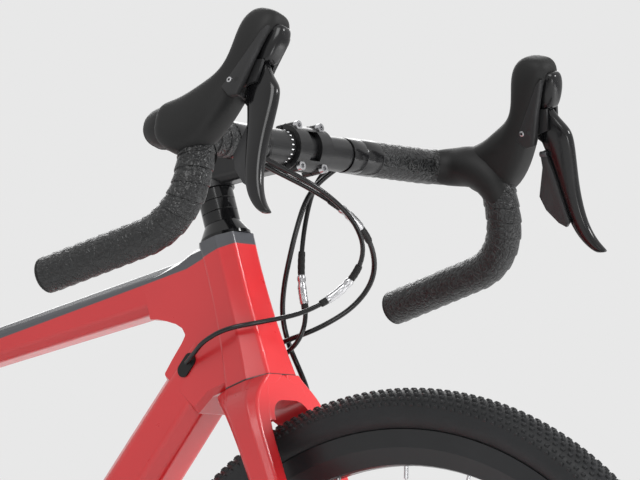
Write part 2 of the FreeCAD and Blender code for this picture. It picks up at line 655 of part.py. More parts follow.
# Along the saddle and up from the rails' low run, as shares of the length, the rise and the rails' spread
rail_shares = ((0.1, 1.35, 1.5), (0.14, 0.72, 1.33), (0.21, 0.12, 1.08), (0.32, 0.0, 1.0), (0.44, 0.0, 1.0),
               (0.58, 0.01, 0.99), (0.72, 0.16, 0.9), (0.83, 0.74, 0.56), (0.87, 1.35, 0.46))


def rail_points(side):
    points = []
    for along, rise, spread in rail_shares:
        points.append(vec(tail_x + along * float(sz.saddle_length), side * spread * float(sz.rail_half),
                          rail_height + rise * rail_rise))
    return points


rails = [hose(rail_points(side), float(sz.rail_radius), name + " rail") for name, side in SIDES.items()]
rail_room = [hose(rail_points(side), float(sz.rail_radius) + float(sz.seat_clearance), name + " groove")
             for name, side in SIDES.items()]
grooves = solid("rail_grooves", Part.makeCompound(rail_room))
post_whole = fuse("post_whole", [post, cradle])
keep(cut("seatpost", post_whole, grooves), "seatpost")
cap_place = Placement(cradle_place.Base + vec(0, 0, sz.cradle_height), Rotation())
cap_share = 1.3
cap_block = block("clamp_block", sz.cradle_length, sz.cradle_width * cap_share, sz.cradle_height, cap_place)
cap_block.Placement = Placement(cap_place.Base - vec(0, sz.cradle_width * ((cap_share - 1) / 2), 0), Rotation())
clamp_grooves = solid("clamp_grooves", Part.makeCompound([piece.copy() for piece in rail_room]))
keep(cut("saddle_clamp", cap_block, clamp_grooves), "saddle_clamp")
keep(solid("saddle_rails", Part.makeCompound(rails)), "saddle_rails")

# The saddle: half widths and heights along its length, with a crown, drawn-in skirts and a middle channel
saddle_shares = (0.0, 0.08, 0.25, 0.42, 0.6, 0.8, 0.93, 1.0)
half_shares = (0.3, 0.78, 1.0, 0.86, 0.46, 0.32, 0.29, 0.2)
crown_shares = (0.7, 0.94, 1.0, 0.95, 0.9, 0.9, 0.84, 0.62)
skirt_share = 0.42
drawn_share = 0.8
channel_share = 0.1
channel_deep_share = 0.12
shoulder_drop_share = 0.4
crest_share = 0.5
flank_shares = (0.86, 0.72)


def saddle_section(along, half, crown):
    x = tail_x + along * float(sz.saddle_length)
    wide = half * float(sz.saddle_width) / 2
    top = saddle_base + crown * float(sz.saddle_depth)
    deep = crown * float(sz.saddle_depth)
    edge = saddle_base + skirt_share * deep
    slot = wide * channel_share * 2
    dip = top - deep * channel_deep_share

    def at(y, z):
        return vec(x, y, z)

    shoulder = top - deep * channel_deep_share * shoulder_drop_share
    crest_y = wide * crest_share
    flank_y = wide * flank_shares[0]
    flank_z = edge + (top - edge) * flank_shares[1]
    edges = []
    low_y = wide * drawn_share
    edges.append(Part.LineSegment(at(-low_y, saddle_base), at(low_y, saddle_base)).toShape())
    edges.append(Part.LineSegment(at(low_y, saddle_base), at(wide, edge)).toShape())
    edges.append(Part.Arc(at(wide, edge), at(flank_y, flank_z), at(crest_y, top)).toShape())
    edges.append(Part.LineSegment(at(crest_y, top), at(slot, shoulder)).toShape())
    edges.append(Part.Arc(at(slot, shoulder), at(0, dip), at(-slot, shoulder)).toShape())
    edges.append(Part.LineSegment(at(-slot, shoulder), at(-crest_y, top)).toShape())
    edges.append(Part.Arc(at(-crest_y, top), at(-flank_y, flank_z), at(-wide, edge)).toShape())
    edges.append(Part.LineSegment(at(-wide, edge), at(-low_y, saddle_base)).toShape())
    return Part.Wire(edges)


saddle_shape = loft([saddle_section(*shares) for shares in zip(saddle_shares, half_shares, crown_shares)])
rail_slots = [hose(rail_points(side), float(sz.rail_radius) + float(sz.gap), name + " slot")
              for name, side in SIDES.items()]
for slot in rail_slots:
    saddle_shape = saddle_shape.cut(slot)
keep(solid("saddle", saddle_shape), "saddle")

# Fork, in the steering frame
# Height, spread, lean forward, width and depth of a leg's sections, as shares of the crown and the rake
leg_shares = ((1.0, 0.24, -0.08, 0.6, 1.12), (0.947, 0.64, 0.1, 0.59, 0.76), (0.888, 0.82, 0.22, 0.5, 0.6),
              (0.81, 0.865, 0.3, 0.46, 0.54), (0.72, 0.88, 0.37, 0.44, 0.525), (0.63, 0.9, 0.43, 0.42, 0.52),
              (0.54, 0.92, 0.5, 0.4, 0.52), (0.45, 0.945, 0.57, 0.38, 0.52), (0.36, 0.97, 0.64, 0.345, 0.52),
              (0.27, 1.0, 0.715, 0.31, 0.51), (0.18, 1.04, 0.8, 0.275, 0.475), (0.09, 1.08, 0.885, 0.24, 0.43),
              (0.02, 1.12, 0.95, 0.175, 0.4))
spread_full = float(sz.front_spacing) / 2
fork_parts = []
for side in SIDES.values():
    wires = []
    for height, spread, lean, wide, deep in leg_shares:
        centre = vec(float(sz.fork_rake) * lean, side * spread_full * spread, float(sz.crown_height) * height)
        wires.append(section(centre, LEFT, FORWARD, float(sz.crown_width) * wide / 2,
                             float(sz.crown_depth) * deep / 2))
    fork_parts.append(loft(wires))
    inner = vec(sz.fork_rake, side * spread_full, 0)
    fork_parts.append(rod(inner, inner + LEFT * (side * float(sz.dropout_width)), float(sz.fork_foot)))
# The crown swells from the lower end of the head to the outer faces of both legs
crown_wires = [head_section(float(sz.head_bottom_radius), low)]
for height, spread, lean, wide, deep in leg_shares[1:3]:
    half = spread_full * spread + float(sz.crown_width) * wide / 2
    crown_wires.append(section(vec(float(sz.fork_rake) * lean, 0, low * height), LEFT, FORWARD, half,
                               float(sz.crown_depth) * deep / 2))
fork_parts.append(loft(crown_wires))
# A round-cornered arch between the legs leaves room for the tyre
arch_top = float(sz.wheel_radius) + float(sz.arch_room)
arch_foot_share = 0.8
arch_ends = [(side * float(sz.arch_half), height) for side, height in
             ((-1, low * arch_foot_share), (1, low * arch_foot_share), (1, arch_top), (-1, arch_top))]
arch_face = Part.Face(rounded([vec(-sz.crown_depth, y, z) for y, z in arch_ends], float(sz.arch_corner)))
arch = arch_face.extrude(vec(2 * sz.crown_depth, 0, 0))
fork_parts = [fork_parts[0].multiFuse(fork_parts[1:]).cut(arch)]
fork_parts.append(rod(vec(0, 0, low - extra), vec(0, 0, low + bearing / 2), float(sz.race_radius)))
steerer_end = vec(0, 0, stem_bottom + sz.stem_stack - sz.overrun)
fork_parts.append(rod(vec(0, 0, low), steerer_end, float(sz.steerer_radius)))
# The flat seat for the front caliper behind the left leg
front_rotor_plane = spread_full - float(sz.front_rotor_inset)
mount_face = float(sz.fork_rake) - float(sz.front_caliper_back) + float(sz.caliper_height) / 2
mount = Part.makeBox(float(sz.caliper_pad), float(sz.caliper_outer) - 4 * float(sz.rotor_thickness),
                     float(sz.caliper_length))
mount.translate(vec(mount_face, front_rotor_plane + 4 * float(sz.rotor_thickness),
                    float(sz.front_caliper_height) - float(sz.caliper_length) / 2))
fork_parts.append(mount)
# A threaded eyelet for a rack or mudguard on the outer side of each leg
height, spread, lean, wide, deep = leg_shares[-3]
eyelet_face = spread_full * spread + float(sz.crown_width) * wide / 2
eyelet_holes = []
for side in SIDES.values():
    out = LEFT * side
    face = vec(float(sz.fork_rake) * lean, side * eyelet_face, float(sz.crown_height) * height)
    mouth = face + out * float(sz.boss_pad_height)
    fork_parts.append(rod(face - out * float(sz.boss_pad_height) * 2, mouth, float(sz.boss_pad_radius)))
    eyelet_holes.append(rod(mouth - out * float(sz.eyelet_depth), mouth + out * extra, float(sz.boss_radius)))
fork_shape = fork_parts[0].multiFuse(fork_parts[1:]).cut(Part.makeCompound(eyelet_holes))
axle_line = [vec(sz.fork_rake, y, 0) for y in (-2 * spread_full, 2 * spread_full)]
fork_shape = fork_shape.cut(rod(axle_line[0], axle_line[1], axle_hole)).removeSplitter()
fork = keep(solid("fork", fork_shape), "fork")
fork.Placement = steer

# Headset cover and three spacers
cover_low = head_top + sz.gap
steerer_hole = sz.steerer_radius + sz.running_clearance
cover_end = head_top + sz.cover_height
cover_side = cover_low + sz.cover_height / 5
cover_profile = [(cover_low, steerer_hole), (cover_end, steerer_hole), (cover_end, sz.spacer_radius),
                 (cover_side, sz.cover_radius), (cover_low, sz.cover_radius)]
pieces = [turned("headset_cover", cover_profile, along_steerer)]
for i in range(3):
    start = cover_end + i * sz.spacer_height
    end = start + sz.spacer_height
    neck = sz.spacer_radius - sz.spacer_bevel
    profile = [(start, steerer_hole), (end, steerer_hole), (end, neck), (end - sz.spacer_bevel, sz.spacer_radius),
               (start + sz.spacer_bevel, sz.spacer_radius), (start, neck)]
    pieces.append(turned("spacer_%d" % (i + 1), profile, along_steerer))
keep(group("headset_spacers", pieces), "headset_spacers")

# Stem: steerer clamp, body and the rear half of the bar clamp
stem_high = float(stem_bottom + sz.stem_stack)
clamp_centre = vec(sz.stem_reach, 0, stem_middle - sz.stem_drop)
stem_root = vec(0, 0, stem_middle)
stem_run = clamp_centre - stem_root
stem_line = vec(stem_run.x, 0, stem_run.z).normalize()
stem_up = stem_line.cross(LEFT * -1).normalize()
half_body = float(sz.stem_body_width) / 2
half_depth = float(sz.stem_body_depth) / 2
waist_share = 0.92
clamp_share = 1.15
body_loft = loft([section(stem_root, LEFT, stem_up, half_body, half_depth),
                  section(stem_root + stem_run * half_way, LEFT, stem_up, half_body * waist_share,
                          half_depth * waist_share),
                  section(clamp_centre, LEFT, stem_up, half_body * clamp_share, half_depth)])
clamp_end = LEFT * (float(sz.bar_clamp_length) / 2)
clamp_radius = float(sz.bar_clamp_radius) + float(sz.bar_clamp_wall)
bar_clamp = rod(clamp_centre - clamp_end, clamp_centre + clamp_end, clamp_radius)
bolt_places = []
for high_sign in (-1, 1):
    for wide_sign in (-1, 1):
        bolt_places.append(clamp_centre + stem_up * (high_sign * float(sz.bar_clamp_radius + sz.stem_bolt + sz.gap))
                           + LEFT * (wide_sign * float(sz.bolt_spread_wide)))
ear_radius = float(sz.bolt_head) + float(sz.running_clearance)
ear_share = 2.4
ear_reach = float(sz.bolt_head) * ear_share
ears = [rod(place - stem_line * ear_reach, place + stem_line * ear_reach, ear_radius) for place in bolt_places]
clamp_whole = bar_clamp.multiFuse(ears)
bar_room = rod(clamp_centre - clamp_end * 2, clamp_centre + clamp_end * 2,
               float(sz.bar_clamp_radius) + float(sz.seat_clearance))
clamp_whole = clamp_whole.cut(bar_room)
side_room = float(sz.bar_clamp_length) * 2


# A half space in front of (or behind) the bar clamp's parting plane
def half_space(start, direction):
    slab = Part.makeBox(side_room, side_room, side_room)
    slab.translate(vec(start, -side_room / 2, -side_room / 2))
    slab.Placement = Placement(clamp_centre, Rotation(FORWARD, direction)).multiply(slab.Placement)
    return slab


front_room = half_space(float(sz.faceplate_gap) / 2, stem_line)
back_room = half_space(float(sz.faceplate_gap) / 2, stem_line * -1)
steerer_clamp = rod(vec(0, 0, stem_bottom), vec(0, 0, stem_high), float(sz.stem_radius))
stem_shape = steerer_clamp.multiFuse([body_loft.cut(half_space(0, stem_line)), clamp_whole.common(back_room)])
stem_shape = stem_shape.cut(bar_room)
stem_shape = stem_shape.cut(rod(vec(0, 0, low), vec(0, 0, stem_high + extra), float(steerer_hole)))
above = Part.makeCylinder(side_room, side_room, vec(0, 0, stem_high), UP)
below = Part.makeCylinder(side_room / 4, side_room, vec(0, 0, stem_bottom - side_room), UP)
stem_shape = stem_shape.cut(above).cut(below)
slot = Part.makeBox(float(sz.stem_radius) * 2, float(sz.clamp_slot), float(sz.stem_stack) * 2)
slot.translate(vec(-3 * sz.stem_radius + sz.steerer_radius / 2, -sz.clamp_slot / 2, stem_bottom - sz.overrun))
stem_shape = stem_shape.cut(slot)
window = Part.makeBox(side_room, float(sz.window_width), float(sz.window_height))
window.translate(vec(0, -sz.window_width / 2, -sz.window_height / 2))
window.Placement = Placement(clamp_centre, Rotation(FORWARD, stem_line)).multiply(window.Placement)
face_shape = clamp_whole.common(front_room).cut(window)
bolt_shank = float(sz.stem_bolt)
head_deep = float(sz.bolt_head_height)
bolts = []
heads = []
for place in bolt_places:
    front_end = place + stem_line * ear_reach
    heads.append((front_end + stem_line * head_deep, stem_line))
    bolts.append(rod(front_end - stem_line * (2 * ear_reach - extra), front_end, bolt_shank)
                 .fuse(rod(front_end, front_end + stem_line * head_deep, float(sz.bolt_head))))
pinch_share = 0.28
pinch_inset_share = 0.4
pinch_reach_share = 0.62
for step in (-pinch_share, pinch_share):
    level = stem_middle.value + step * float(sz.stem_stack)
    back = -float(sz.stem_radius) + bolt_shank * pinch_inset_share
    reach = float(sz.stem_radius) * pinch_reach_share
    start = vec(back, -reach, level)
    bolts.append(rod(start, vec(back, reach, level), bolt_shank)
                 .fuse(rod(start, start - LEFT * head_deep, float(sz.bolt_head))))
    heads.append((start - LEFT * head_deep, LEFT * -1))
room = Part.makeCompound([bolt.copy() for bolt in bolts])
stem_shape = stem_shape.cut(room)
face_shape = face_shape.cut(room)
stem = keep(solid("stem", stem_shape.removeSplitter()), "stem")
stem.Placement = steer
faceplate = keep(solid("stem_faceplate", face_shape.removeSplitter()), "stem_faceplate")
faceplate.Placement = steer
cap_top = stem_high + float(sz.top_cap_height)
cap_round_share = 0.93
cap = rod(vec(0, 0, stem_high), vec(0, 0, cap_top), float(sz.stem_radius) * cap_round_share)
cap_rim = [edge for edge in cap.Edges
           if edge.Curve.TypeId == "Part::GeomCircle" and edge.CenterOfMass.z > stem_high + float(sz.gap)]
cap = cap.makeChamfer(float(sz.top_cap_height) / 3, cap_rim)
heads.append((vec(0, 0, cap_top), UP))


# A six-sided key socket sunk into a bolt's head
def socket(top, way):
    corners = []
    for k in range(6):
        turn = math.radians(60 * k)
        corners.append(vec(math.cos(turn), math.sin(turn), 0) * float(sz.socket_radius))
    shape = Part.Face(Part.makePolygon(corners + [corners[0]])).extrude(UP * (float(sz.socket_depth) + extra))
    shape.Placement = Placement(top - way * float(sz.socket_depth), Rotation(UP, way))
    return shape


sockets = Part.makeCompound([socket(top, way) for top, way in heads])
drilled = [piece.cut(sockets) for piece in bolts + [cap]]
hardware = keep(solid("stem_hardware", Part.makeCompound(drilled)), "stem_hardware")
hardware.Placement = steer

# The bar: straight top, corner, hook, drop and tail; the hook and drop lie in a plane flared outwards
flare = math.radians(float(sz.bar_flare))
tail_slope = math.radians(float(sz.bar_tail_slope))


# A point of the drop plane on one side, forward and down from the top's outer corner
def drop_point(side, ahead, down):
    out = float(sz.bar_half_width) + down * math.sin(flare)
    return bar_centre + vec(ahead, side * out, -down * math.cos(flare))


def arc_between(side, centre, radius, start, end):
    marks = []
    for share in (0, half_way, 1):
        angle = math.radians(start + (end - start) * share)
        across, down = radius * math.cos(angle), radius * math.sin(angle)
        marks.append(drop_point(side, centre[0] + across, centre[1] - down))
    return Part.Arc(*marks).toShape()


def bar_path(side, start, stretch):
    corner = float(sz.bar_corner)
    hook = float(sz.bar_hook)
    drop = float(sz.bar_drop_radius)
    hook_down = hook + float(sz.bar_hook_drop)
    straight = float(sz.bar_half_width) - corner
    top = bar_centre + LEFT * (side * straight)
    slant = math.sqrt(half_way)
    turn = bar_centre + vec(corner * (1 - slant), side * (straight + corner * slant), 0)
    end_angle = -90 + float(sz.bar_tail_slope)
    low_centre = (corner + hook - drop, hook_down)
    foot = (low_centre[0] + drop * math.cos(math.radians(end_angle)),
            low_centre[1] - drop * math.sin(math.radians(end_angle)))
    tail = float(sz.bar_tail) + stretch
    end = (foot[0] - tail * math.cos(tail_slope), foot[1] + tail * math.sin(tail_slope))
    edges = [Part.LineSegment(bar_centre + LEFT * (side * start), top).toShape(),
             Part.Arc(top, turn, drop_point(side, corner, 0)).toShape(),
             arc_between(side, (corner, hook), hook, 90, 0),
             Part.LineSegment(drop_point(side, corner + hook, hook),
                              drop_point(side, corner + hook, hook_down)).toShape(),
             arc_between(side, low_centre, drop, 0, end_angle),
             Part.LineSegment(drop_point(side, *foot), drop_point(side, *end)).toShape()]
    return Part.Wire(edges)


def swept(path, radius):
    start = path.OrderedVertexes[0].Point
    ring_wire = Part.Wire(Part.Circle(start, path.OrderedEdges[0].tangentAt(0), radius).toShape())
    return path.makePipeShell([ring_wire], True, False)


clamp_half = float(sz.clamp_half)
tape_start = float(sz.tape_start)
bar_parts = [rod(bar_centre - LEFT * clamp_half, bar_centre + LEFT * clamp_half, float(sz.bar_clamp_radius))]
tapes = []
plug_list = []
plug_round_share = 0.6
for side in SIDES.values():
    taper = Part.makeCone(float(sz.bar_clamp_radius), float(sz.bar_radius), tape_start - clamp_half,
                          bar_centre + LEFT * (side * clamp_half), LEFT * side)
    path = bar_path(side, tape_start, 0)
    core = swept(path, float(sz.bar_radius))
    bar_parts += [taper, core]
    tapes.append(swept(path, float(sz.tape_radius)).cut(swept(path, float(sz.bar_radius))))
    last = path.OrderedVertexes[-1].Point
    way = (last - path.OrderedVertexes[-2].Point).normalize()
    plug = rod(last, last + way * float(sz.plug_thickness), float(sz.plug_flange))
    plug_list.append(plug.makeFillet(float(sz.plug_thickness) * plug_round_share, [plug.Edges[0]]))
bar_shape = bar_parts[0].multiFuse(bar_parts[1:])
keep(solid("handlebar", bar_shape), "handlebar")

# Lever bodies, hoods, brake levers and shift paddles, in a plane flared like the drop


def hood_frame(side):
    tilt = Rotation(FORWARD, side * float(sz.bar_flare))
    return Placement(bar_centre + LEFT * (side * (float(sz.bar_half_width) + float(sz.hood_offset))), tilt)


# Outlines seen from the side, as shares of the hood's unit: ahead of the bar's middle and above it
hood_shares = ((0.3, 0.19), (0.52, 0.24), (0.7, 0.37), (0.92, 0.46), (0.98, 0.74), (1.02, 0.93), (1.17, 0.99),
               (1.36, 0.94), (1.46, 0.79), (1.39, 0.5), (1.2, 0.5), (1.1, 0.42), (1.0, 0.06), (0.76, -0.22),
               (0.5, -0.24), (0.3, -0.16))
body_shares = ((1.06, 0.46), (1.12, 0.5), (1.34, 0.5), (1.31, 0.3), (1.16, 0.26), (1.04, 0.2))
swing_shares = ((1.115, 0.6), (1.6, 0.6), (1.6, -0.3), (1.0, -0.3), (1.045, 0.1), (1.1, 0.3))
paddle_shares = ((1.16, 0.16), (1.33, 0.16), (1.33, 0.04), (1.25, -0.12), (1.3, -0.42), (1.38, -0.56), (1.3, -0.62),
                 (1.16, -0.5), (1.12, -0.2))
# The brake lever from its head to its tip: height, front edge, rear edge and share of its width
lever_shares = ((0.45, 1.4, 1.2, 0.8), (0.3, 1.49, 1.14, 1.0), (0.14, 1.52, 1.19, 1.0), (-0.05, 1.5, 1.24, 1.0),
                (-0.3, 1.49, 1.285, 0.95), (-0.55, 1.51, 1.33, 0.85), (-0.72, 1.57, 1.4, 0.75),
                (-0.83, 1.645, 1.53, 0.55))


def side_slab(shares, width, offset):
    unit = float(sz.hood_unit)
    points = [vec(x * unit, -width / 2 + offset, z * unit) for x, z in shares]
    face = Part.Face(Part.makePolygon(points + [points[0]]))
    return face.extrude(LEFT * width)


# Breaks the long outer edges of a slab: those that lie in its two side faces
def soften(shape, size, width):
    rims = []
    for edge in shape.Edges:
        ends = [vertex.Point.y for vertex in edge.Vertexes]
        if abs(ends[0] - ends[1]) < width / 2:
            rims.append(edge)
    return shape.makeChamfer(size, rims)


def lever_loft():
    unit = float(sz.hood_unit)
    wires = []
    for height, front, rear, share in lever_shares:
        centre = vec((front + rear) / 2 * unit, 0, height * unit)
        wires.append(section(centre, LEFT, FORWARD, float(sz.lever_width) * share / 2,
                             (front - rear) / 2 * unit))
    return loft(wires)


hoods = []
bodies = []
pivot = vec(sz.pivot_ahead, 0, sz.pivot_up)
lever_half = float(sz.lever_width) / 2
lever_room = float(sz.lever_width) + 2 * float(sz.gap)
pin_end = LEFT * (float(sz.body_width) / 2)
for name, side in SIDES.items():
    place = hood_frame(side)
    hood_width = float(sz.hood_width)
    hood = soften(side_slab(hood_shares, hood_width, 0), float(sz.hood_round), hood_width)
    hood.Placement = place
    wrap = swept(bar_path(side, tape_start, 0), float(sz.tape_radius) + float(sz.seat_clearance))
    hood = max(hood.cut(wrap).Solids, key=lambda piece: piece.Volume)
    hoods.append(hood)
    lever_body = side_slab(body_shares, float(sz.body_width), 0).cut(side_slab(swing_shares, lever_room, 0))
    lever_body = lever_body.fuse(rod(pivot - pin_end, pivot + pin_end, float(sz.pivot_radius)))
    lever_body.Placement = place
    bodies.append(max(lever_body.cut(hood).Solids, key=lambda piece: piece.Volume))
    bore = float(sz.pivot_radius) + float(sz.running_clearance)
    lever = lever_loft().cut(rod(pivot - pin_end, pivot + pin_end, bore))
    lever.Placement = place
    inward = LEFT * -side
    paddle = side_slab(paddle_shares, float(sz.paddle_width), -side * float(sz.paddle_offset))
    stub_side = inward * (lever_half + float(sz.gap) + float(sz.paddle_stub))
    stub_start = vec(sz.paddle_ahead, 0, sz.paddle_up) + stub_side
    paddle = paddle.fuse(rod(stub_start, stub_start + FORWARD * float(sz.paddle_barrel), float(sz.paddle_stub)))
    paddle.Placement = place
    keep(solid("brake_lever_" + name, lever), "brake_lever_" + name)
    keep(solid("shift_paddle_" + name, paddle), "shift_paddle_" + name)
keep(solid("hoods", Part.makeCompound(hoods)), "hoods")
keep(solid("lever_bodies", Part.makeCompound(bodies)), "lever_bodies")
keep(solid("bar_tape", Part.makeCompound(tapes + plug_list)), "bar_tape")

# Cables: the route of each line from the bar tape to where it enters the frame or the fork
rear_hose_points = [(395, -64.4, 909), (405, -42, 899), (420, -12, 885), (430, 24, 867), (426, 62, 844),
                    (413, 84, 815), (395, 78, 788), (370, 58, 768), (342, 45, 757), (315, 38, 747),
                    (298, 33.5, 740), (284.5, 30.2, 734.3)]
rear_shift_points = [(400.9, -64.4, 912.8), (414, -42, 901), (431, -12, 884), (440, 20, 860), (434, 44, 832),
                     (416, 40, 802), (392, 12, 778), (366, -20, 769), (338, -39, 763), (313, -41, 752),
                     (297, -35, 742), (283.5, -30, 734)]
front_hose_points = [(382.4, 63.4, 913.8), (368, 55, 902), (359, 47, 884), (352, 43, 858), (344, 43, 832),
                     (333, 48, 806), (326, 54, 780), (329, 60, 754), (342, 61, 730), (355, 56.5, 712),
                     (364.1, 50.1, 698.9)]
front_shift_points = [(377.4, 63.5, 920.8), (364, 60.5, 907), (357, 57, 888), (353, 53, 860), (351, 51, 830),
                      (354, 49, 802), (362, 47, 778), (357, 43, 755), (337, 40, 740), (312, 37, 729),
                      (297, 33.5, 721.5), (284, 30, 713.5)]
# Short lengths at the back: the hose from the chain stay to the caliper and the housing loop to the rear mech
rear_hose_tail = [(-373, 58, 343.9), (-388, 60, 358), (-406, 62, 367), (-426.6, 62, 369.5)]
rear_shift_tail = [(-456, -79.8, 343), (-482, -88, 356), (-514, -92, 365), (-546, -95, 362), (-569, -95, 346),
                   (-574, -94, 325), (-563, -92, 310), (-538.3, -89.2, 309.9)]


def line(points, radius, name):
    return hose([vec(*point) for point in points], float(radius), name)


rear_hoses = [line(rear_hose_points, sz.hose_radius, "rear hose"),
              line(rear_hose_tail, sz.hose_radius, "rear hose tail")]
rear_housings = [line(rear_shift_points, sz.housing_radius, "rear shift"),
                 line(rear_shift_tail, sz.housing_radius, "rear shift tail")]
keep(solid("rear_brake_hose", Part.makeCompound(rear_hoses)), "rear_brake_hose")
keep(solid("rear_shift_housing", Part.makeCompound(rear_housings)), "rear_shift_housing")
keep(solid("front_brake_hose", line(front_hose_points, sz.hose_radius, "front hose")), "front_brake_hose")
front_housing = line(front_shift_points, sz.housing_radius, "front shift")
keep(solid("front_shift_housing", front_housing), "front_shift_housing")

# Inline fittings: a sleeve on each of the three lines that reach the frame


def sleeve(points, index, radius):
    start = vec(*points[index])
    end = vec(*points[index + 1])
    run = (end - start).normalize() * (float(sz.sleeve_length) / 2)
    middle = (start + end) * half_way
    room = hose([vec(*point) for point in points], float(radius + sz.seat_clearance), "sleeve")
    return rod(middle - run, middle + run, float(sz.sleeve_radius)).cut(room)


fittings = [sleeve(rear_hose_points, 3, sz.hose_radius), sleeve(rear_shift_points, 5, sz.housing_radius),
            sleeve(front_shift_points, 4, sz.housing_radius)]
keep(solid("cable_fittings", Part.makeCompound(fittings)), "cable_fittings")

# Wheels
spokes_a_side = 12
cross_angle = 66.0
shoulder_share = 0.61
shoulder_rise_share = 0.73
belly_share = 0.78
lift_share = 0.4
# The rim's outer side: shares of its half width at mid depth, at the shoulder and at the spoke bed
rim_shares = (0.97, 0.5, 0.3)


def wheel(name, axle, spacing, flange, left_flange, right_flange, rotor_plane, driver):
    place = Placement(axle, across)
    half_tyre = float(sz.tyre_width) / 2
    top = float(sz.wheel_radius)
    bead = float(sz.bead_radius)
    edge = float(sz.rim_edge)
    wall = float(sz.tyre_wall)
    hook = float(sz.rim_width) / 2 - float(sz.rim_wall) - float(sz.seat_clearance)
    belly = edge + half_tyre * belly_share
    shoulder = (half_tyre * shoulder_share, belly + (top - belly) * shoulder_rise_share)

    def p(y, radius):
        return vec(y, radius, 0)

    lift = wall * lift_share
    outer = [Part.LineSegment(p(hook - wall, bead), p(hook, bead)).toShape(),
             Part.LineSegment(p(hook, bead), p(hook, edge + lift)).toShape(),
             Part.Arc(p(hook, edge + lift), p(half_tyre, belly), p(*shoulder)).toShape(),
             Part.Arc(p(*shoulder), p(0, top), p(-shoulder[0], shoulder[1])).toShape(),
             Part.Arc(p(-shoulder[0], shoulder[1]), p(-half_tyre, belly), p(-hook, edge + lift)).toShape(),
             Part.LineSegment(p(-hook, edge + lift), p(-hook, bead)).toShape(),
             Part.LineSegment(p(-hook, bead), p(wall - hook, bead)).toShape()]
    inside_y = shoulder[0] - wall
    inside_top = shoulder[1] - wall
    foot_y = hook - wall
    inner = [Part.LineSegment(p(-foot_y, bead), p(-foot_y, edge + wall)).toShape(),
             Part.Arc(p(-foot_y, edge + wall), p(wall - half_tyre, belly), p(-inside_y, inside_top)).toShape(),
             Part.Arc(p(-inside_y, inside_top), p(0, top - 2 * wall), p(inside_y, inside_top)).toShape(),
             Part.Arc(p(inside_y, inside_top), p(half_tyre - wall, belly), p(foot_y, edge + wall)).toShape(),
             Part.LineSegment(p(foot_y, edge + wall), p(foot_y, bead)).toShape()]
    tyre_face = Part.Face(Part.Wire(outer + inner))
    tyre = solid(name + "_tyre", tyre_face.revolve(vec(0, 0, 0), FORWARD, 360))
    tyre.Placement = place
    keep(tyre, name + "_tyre")
    half_rim = sz.rim_width / 2
    lip = half_rim - sz.rim_wall
    well = sz.bead_radius - sz.seat_clearance
    levels = (sz.rim_edge - (sz.rim_edge - sz.rim_inner) / 2, sz.rim_inner + sz.rim_wall / 2, sz.rim_inner)
    flank = [(half_rim * share, level) for share, level in zip(rim_shares, levels)]
    rim_profile = [(-half_rim, sz.rim_edge), (-lip, sz.rim_edge), (-lip, well), (lip, well), (lip, sz.rim_edge),
                   (half_rim, sz.rim_edge)] + flank + [(-y, level) for y, level in reversed(flank)]
    keep(turned(name + "_rim", rim_profile, place), name + "_rim")
    bore = sz.axle_radius + sz.running_clearance
    half = spacing / 2 - sz.gap / 3
    thick = sz.flange_thickness / 2
    right_end = sz.driver_radius if driver else sz.cap_radius
    carrier_end = rotor_plane + sz.carrier_length / 2
    keep(turned(name + "_hub", [(-half, bore), (half, bore), (half, sz.cap_radius), (carrier_end, sz.cap_radius),
                                (carrier_end, sz.carrier_radius), (left_flange + thick, sz.carrier_radius),
                                (left_flange + thick, flange), (left_flange - thick, flange),
                                (left_flange - 2 * thick, sz.shell_waist), (-right_flange + 2 * thick, sz.shell_waist),
                                (-right_flange + thick, flange), (-right_flange - thick, flange),
                                (-right_flange - thick, right_end), (-half, right_end)], place), name + "_hub")
    pieces = []
    pitch = 360.0 / spokes_a_side * 2
    hole = float(flange) - float(sz.hole_inset)
    for side, at_flange, start in ((1, float(left_flange), 0.0), (-1, -float(right_flange), pitch / 4)):
        for lead, shift in ((1, 0.0), (-1, pitch / 2)):
            for k in range(spokes_a_side // 2):
                rim_angle = math.radians(start + shift + k * pitch)
                hub_angle = rim_angle - lead * math.radians(cross_angle)
                at_hub = vec(hole * math.cos(hub_angle), at_flange + lead * float(sz.spoke_offset),
                             hole * math.sin(hub_angle))
                seat_radius = float(sz.rim_inner) + float(sz.rim_wall)
                at_rim = vec(seat_radius * math.cos(rim_angle), side * float(sz.rim_offset),
                             seat_radius * math.sin(rim_angle))
                nipple = (at_hub - at_rim).normalize() * float(sz.nipple_length)
                spoke = rod(at_hub, at_rim, float(sz.spoke_radius))
                pieces.append(spoke.fuse(rod(at_rim + nipple, at_rim, float(sz.nipple_radius))))
    spokes = solid(name + "_spokes", Part.makeCompound(pieces))
    spokes.Placement = Placement(axle, Rotation())
    keep(spokes, name + "_spokes")
    rotor(name, axle, rotor_plane)


# A disc rotor with an open spider and a ring of small holes
rotor_arms = 6
rotor_holes = 24
hole_row_shares = (0.66, 0.32)


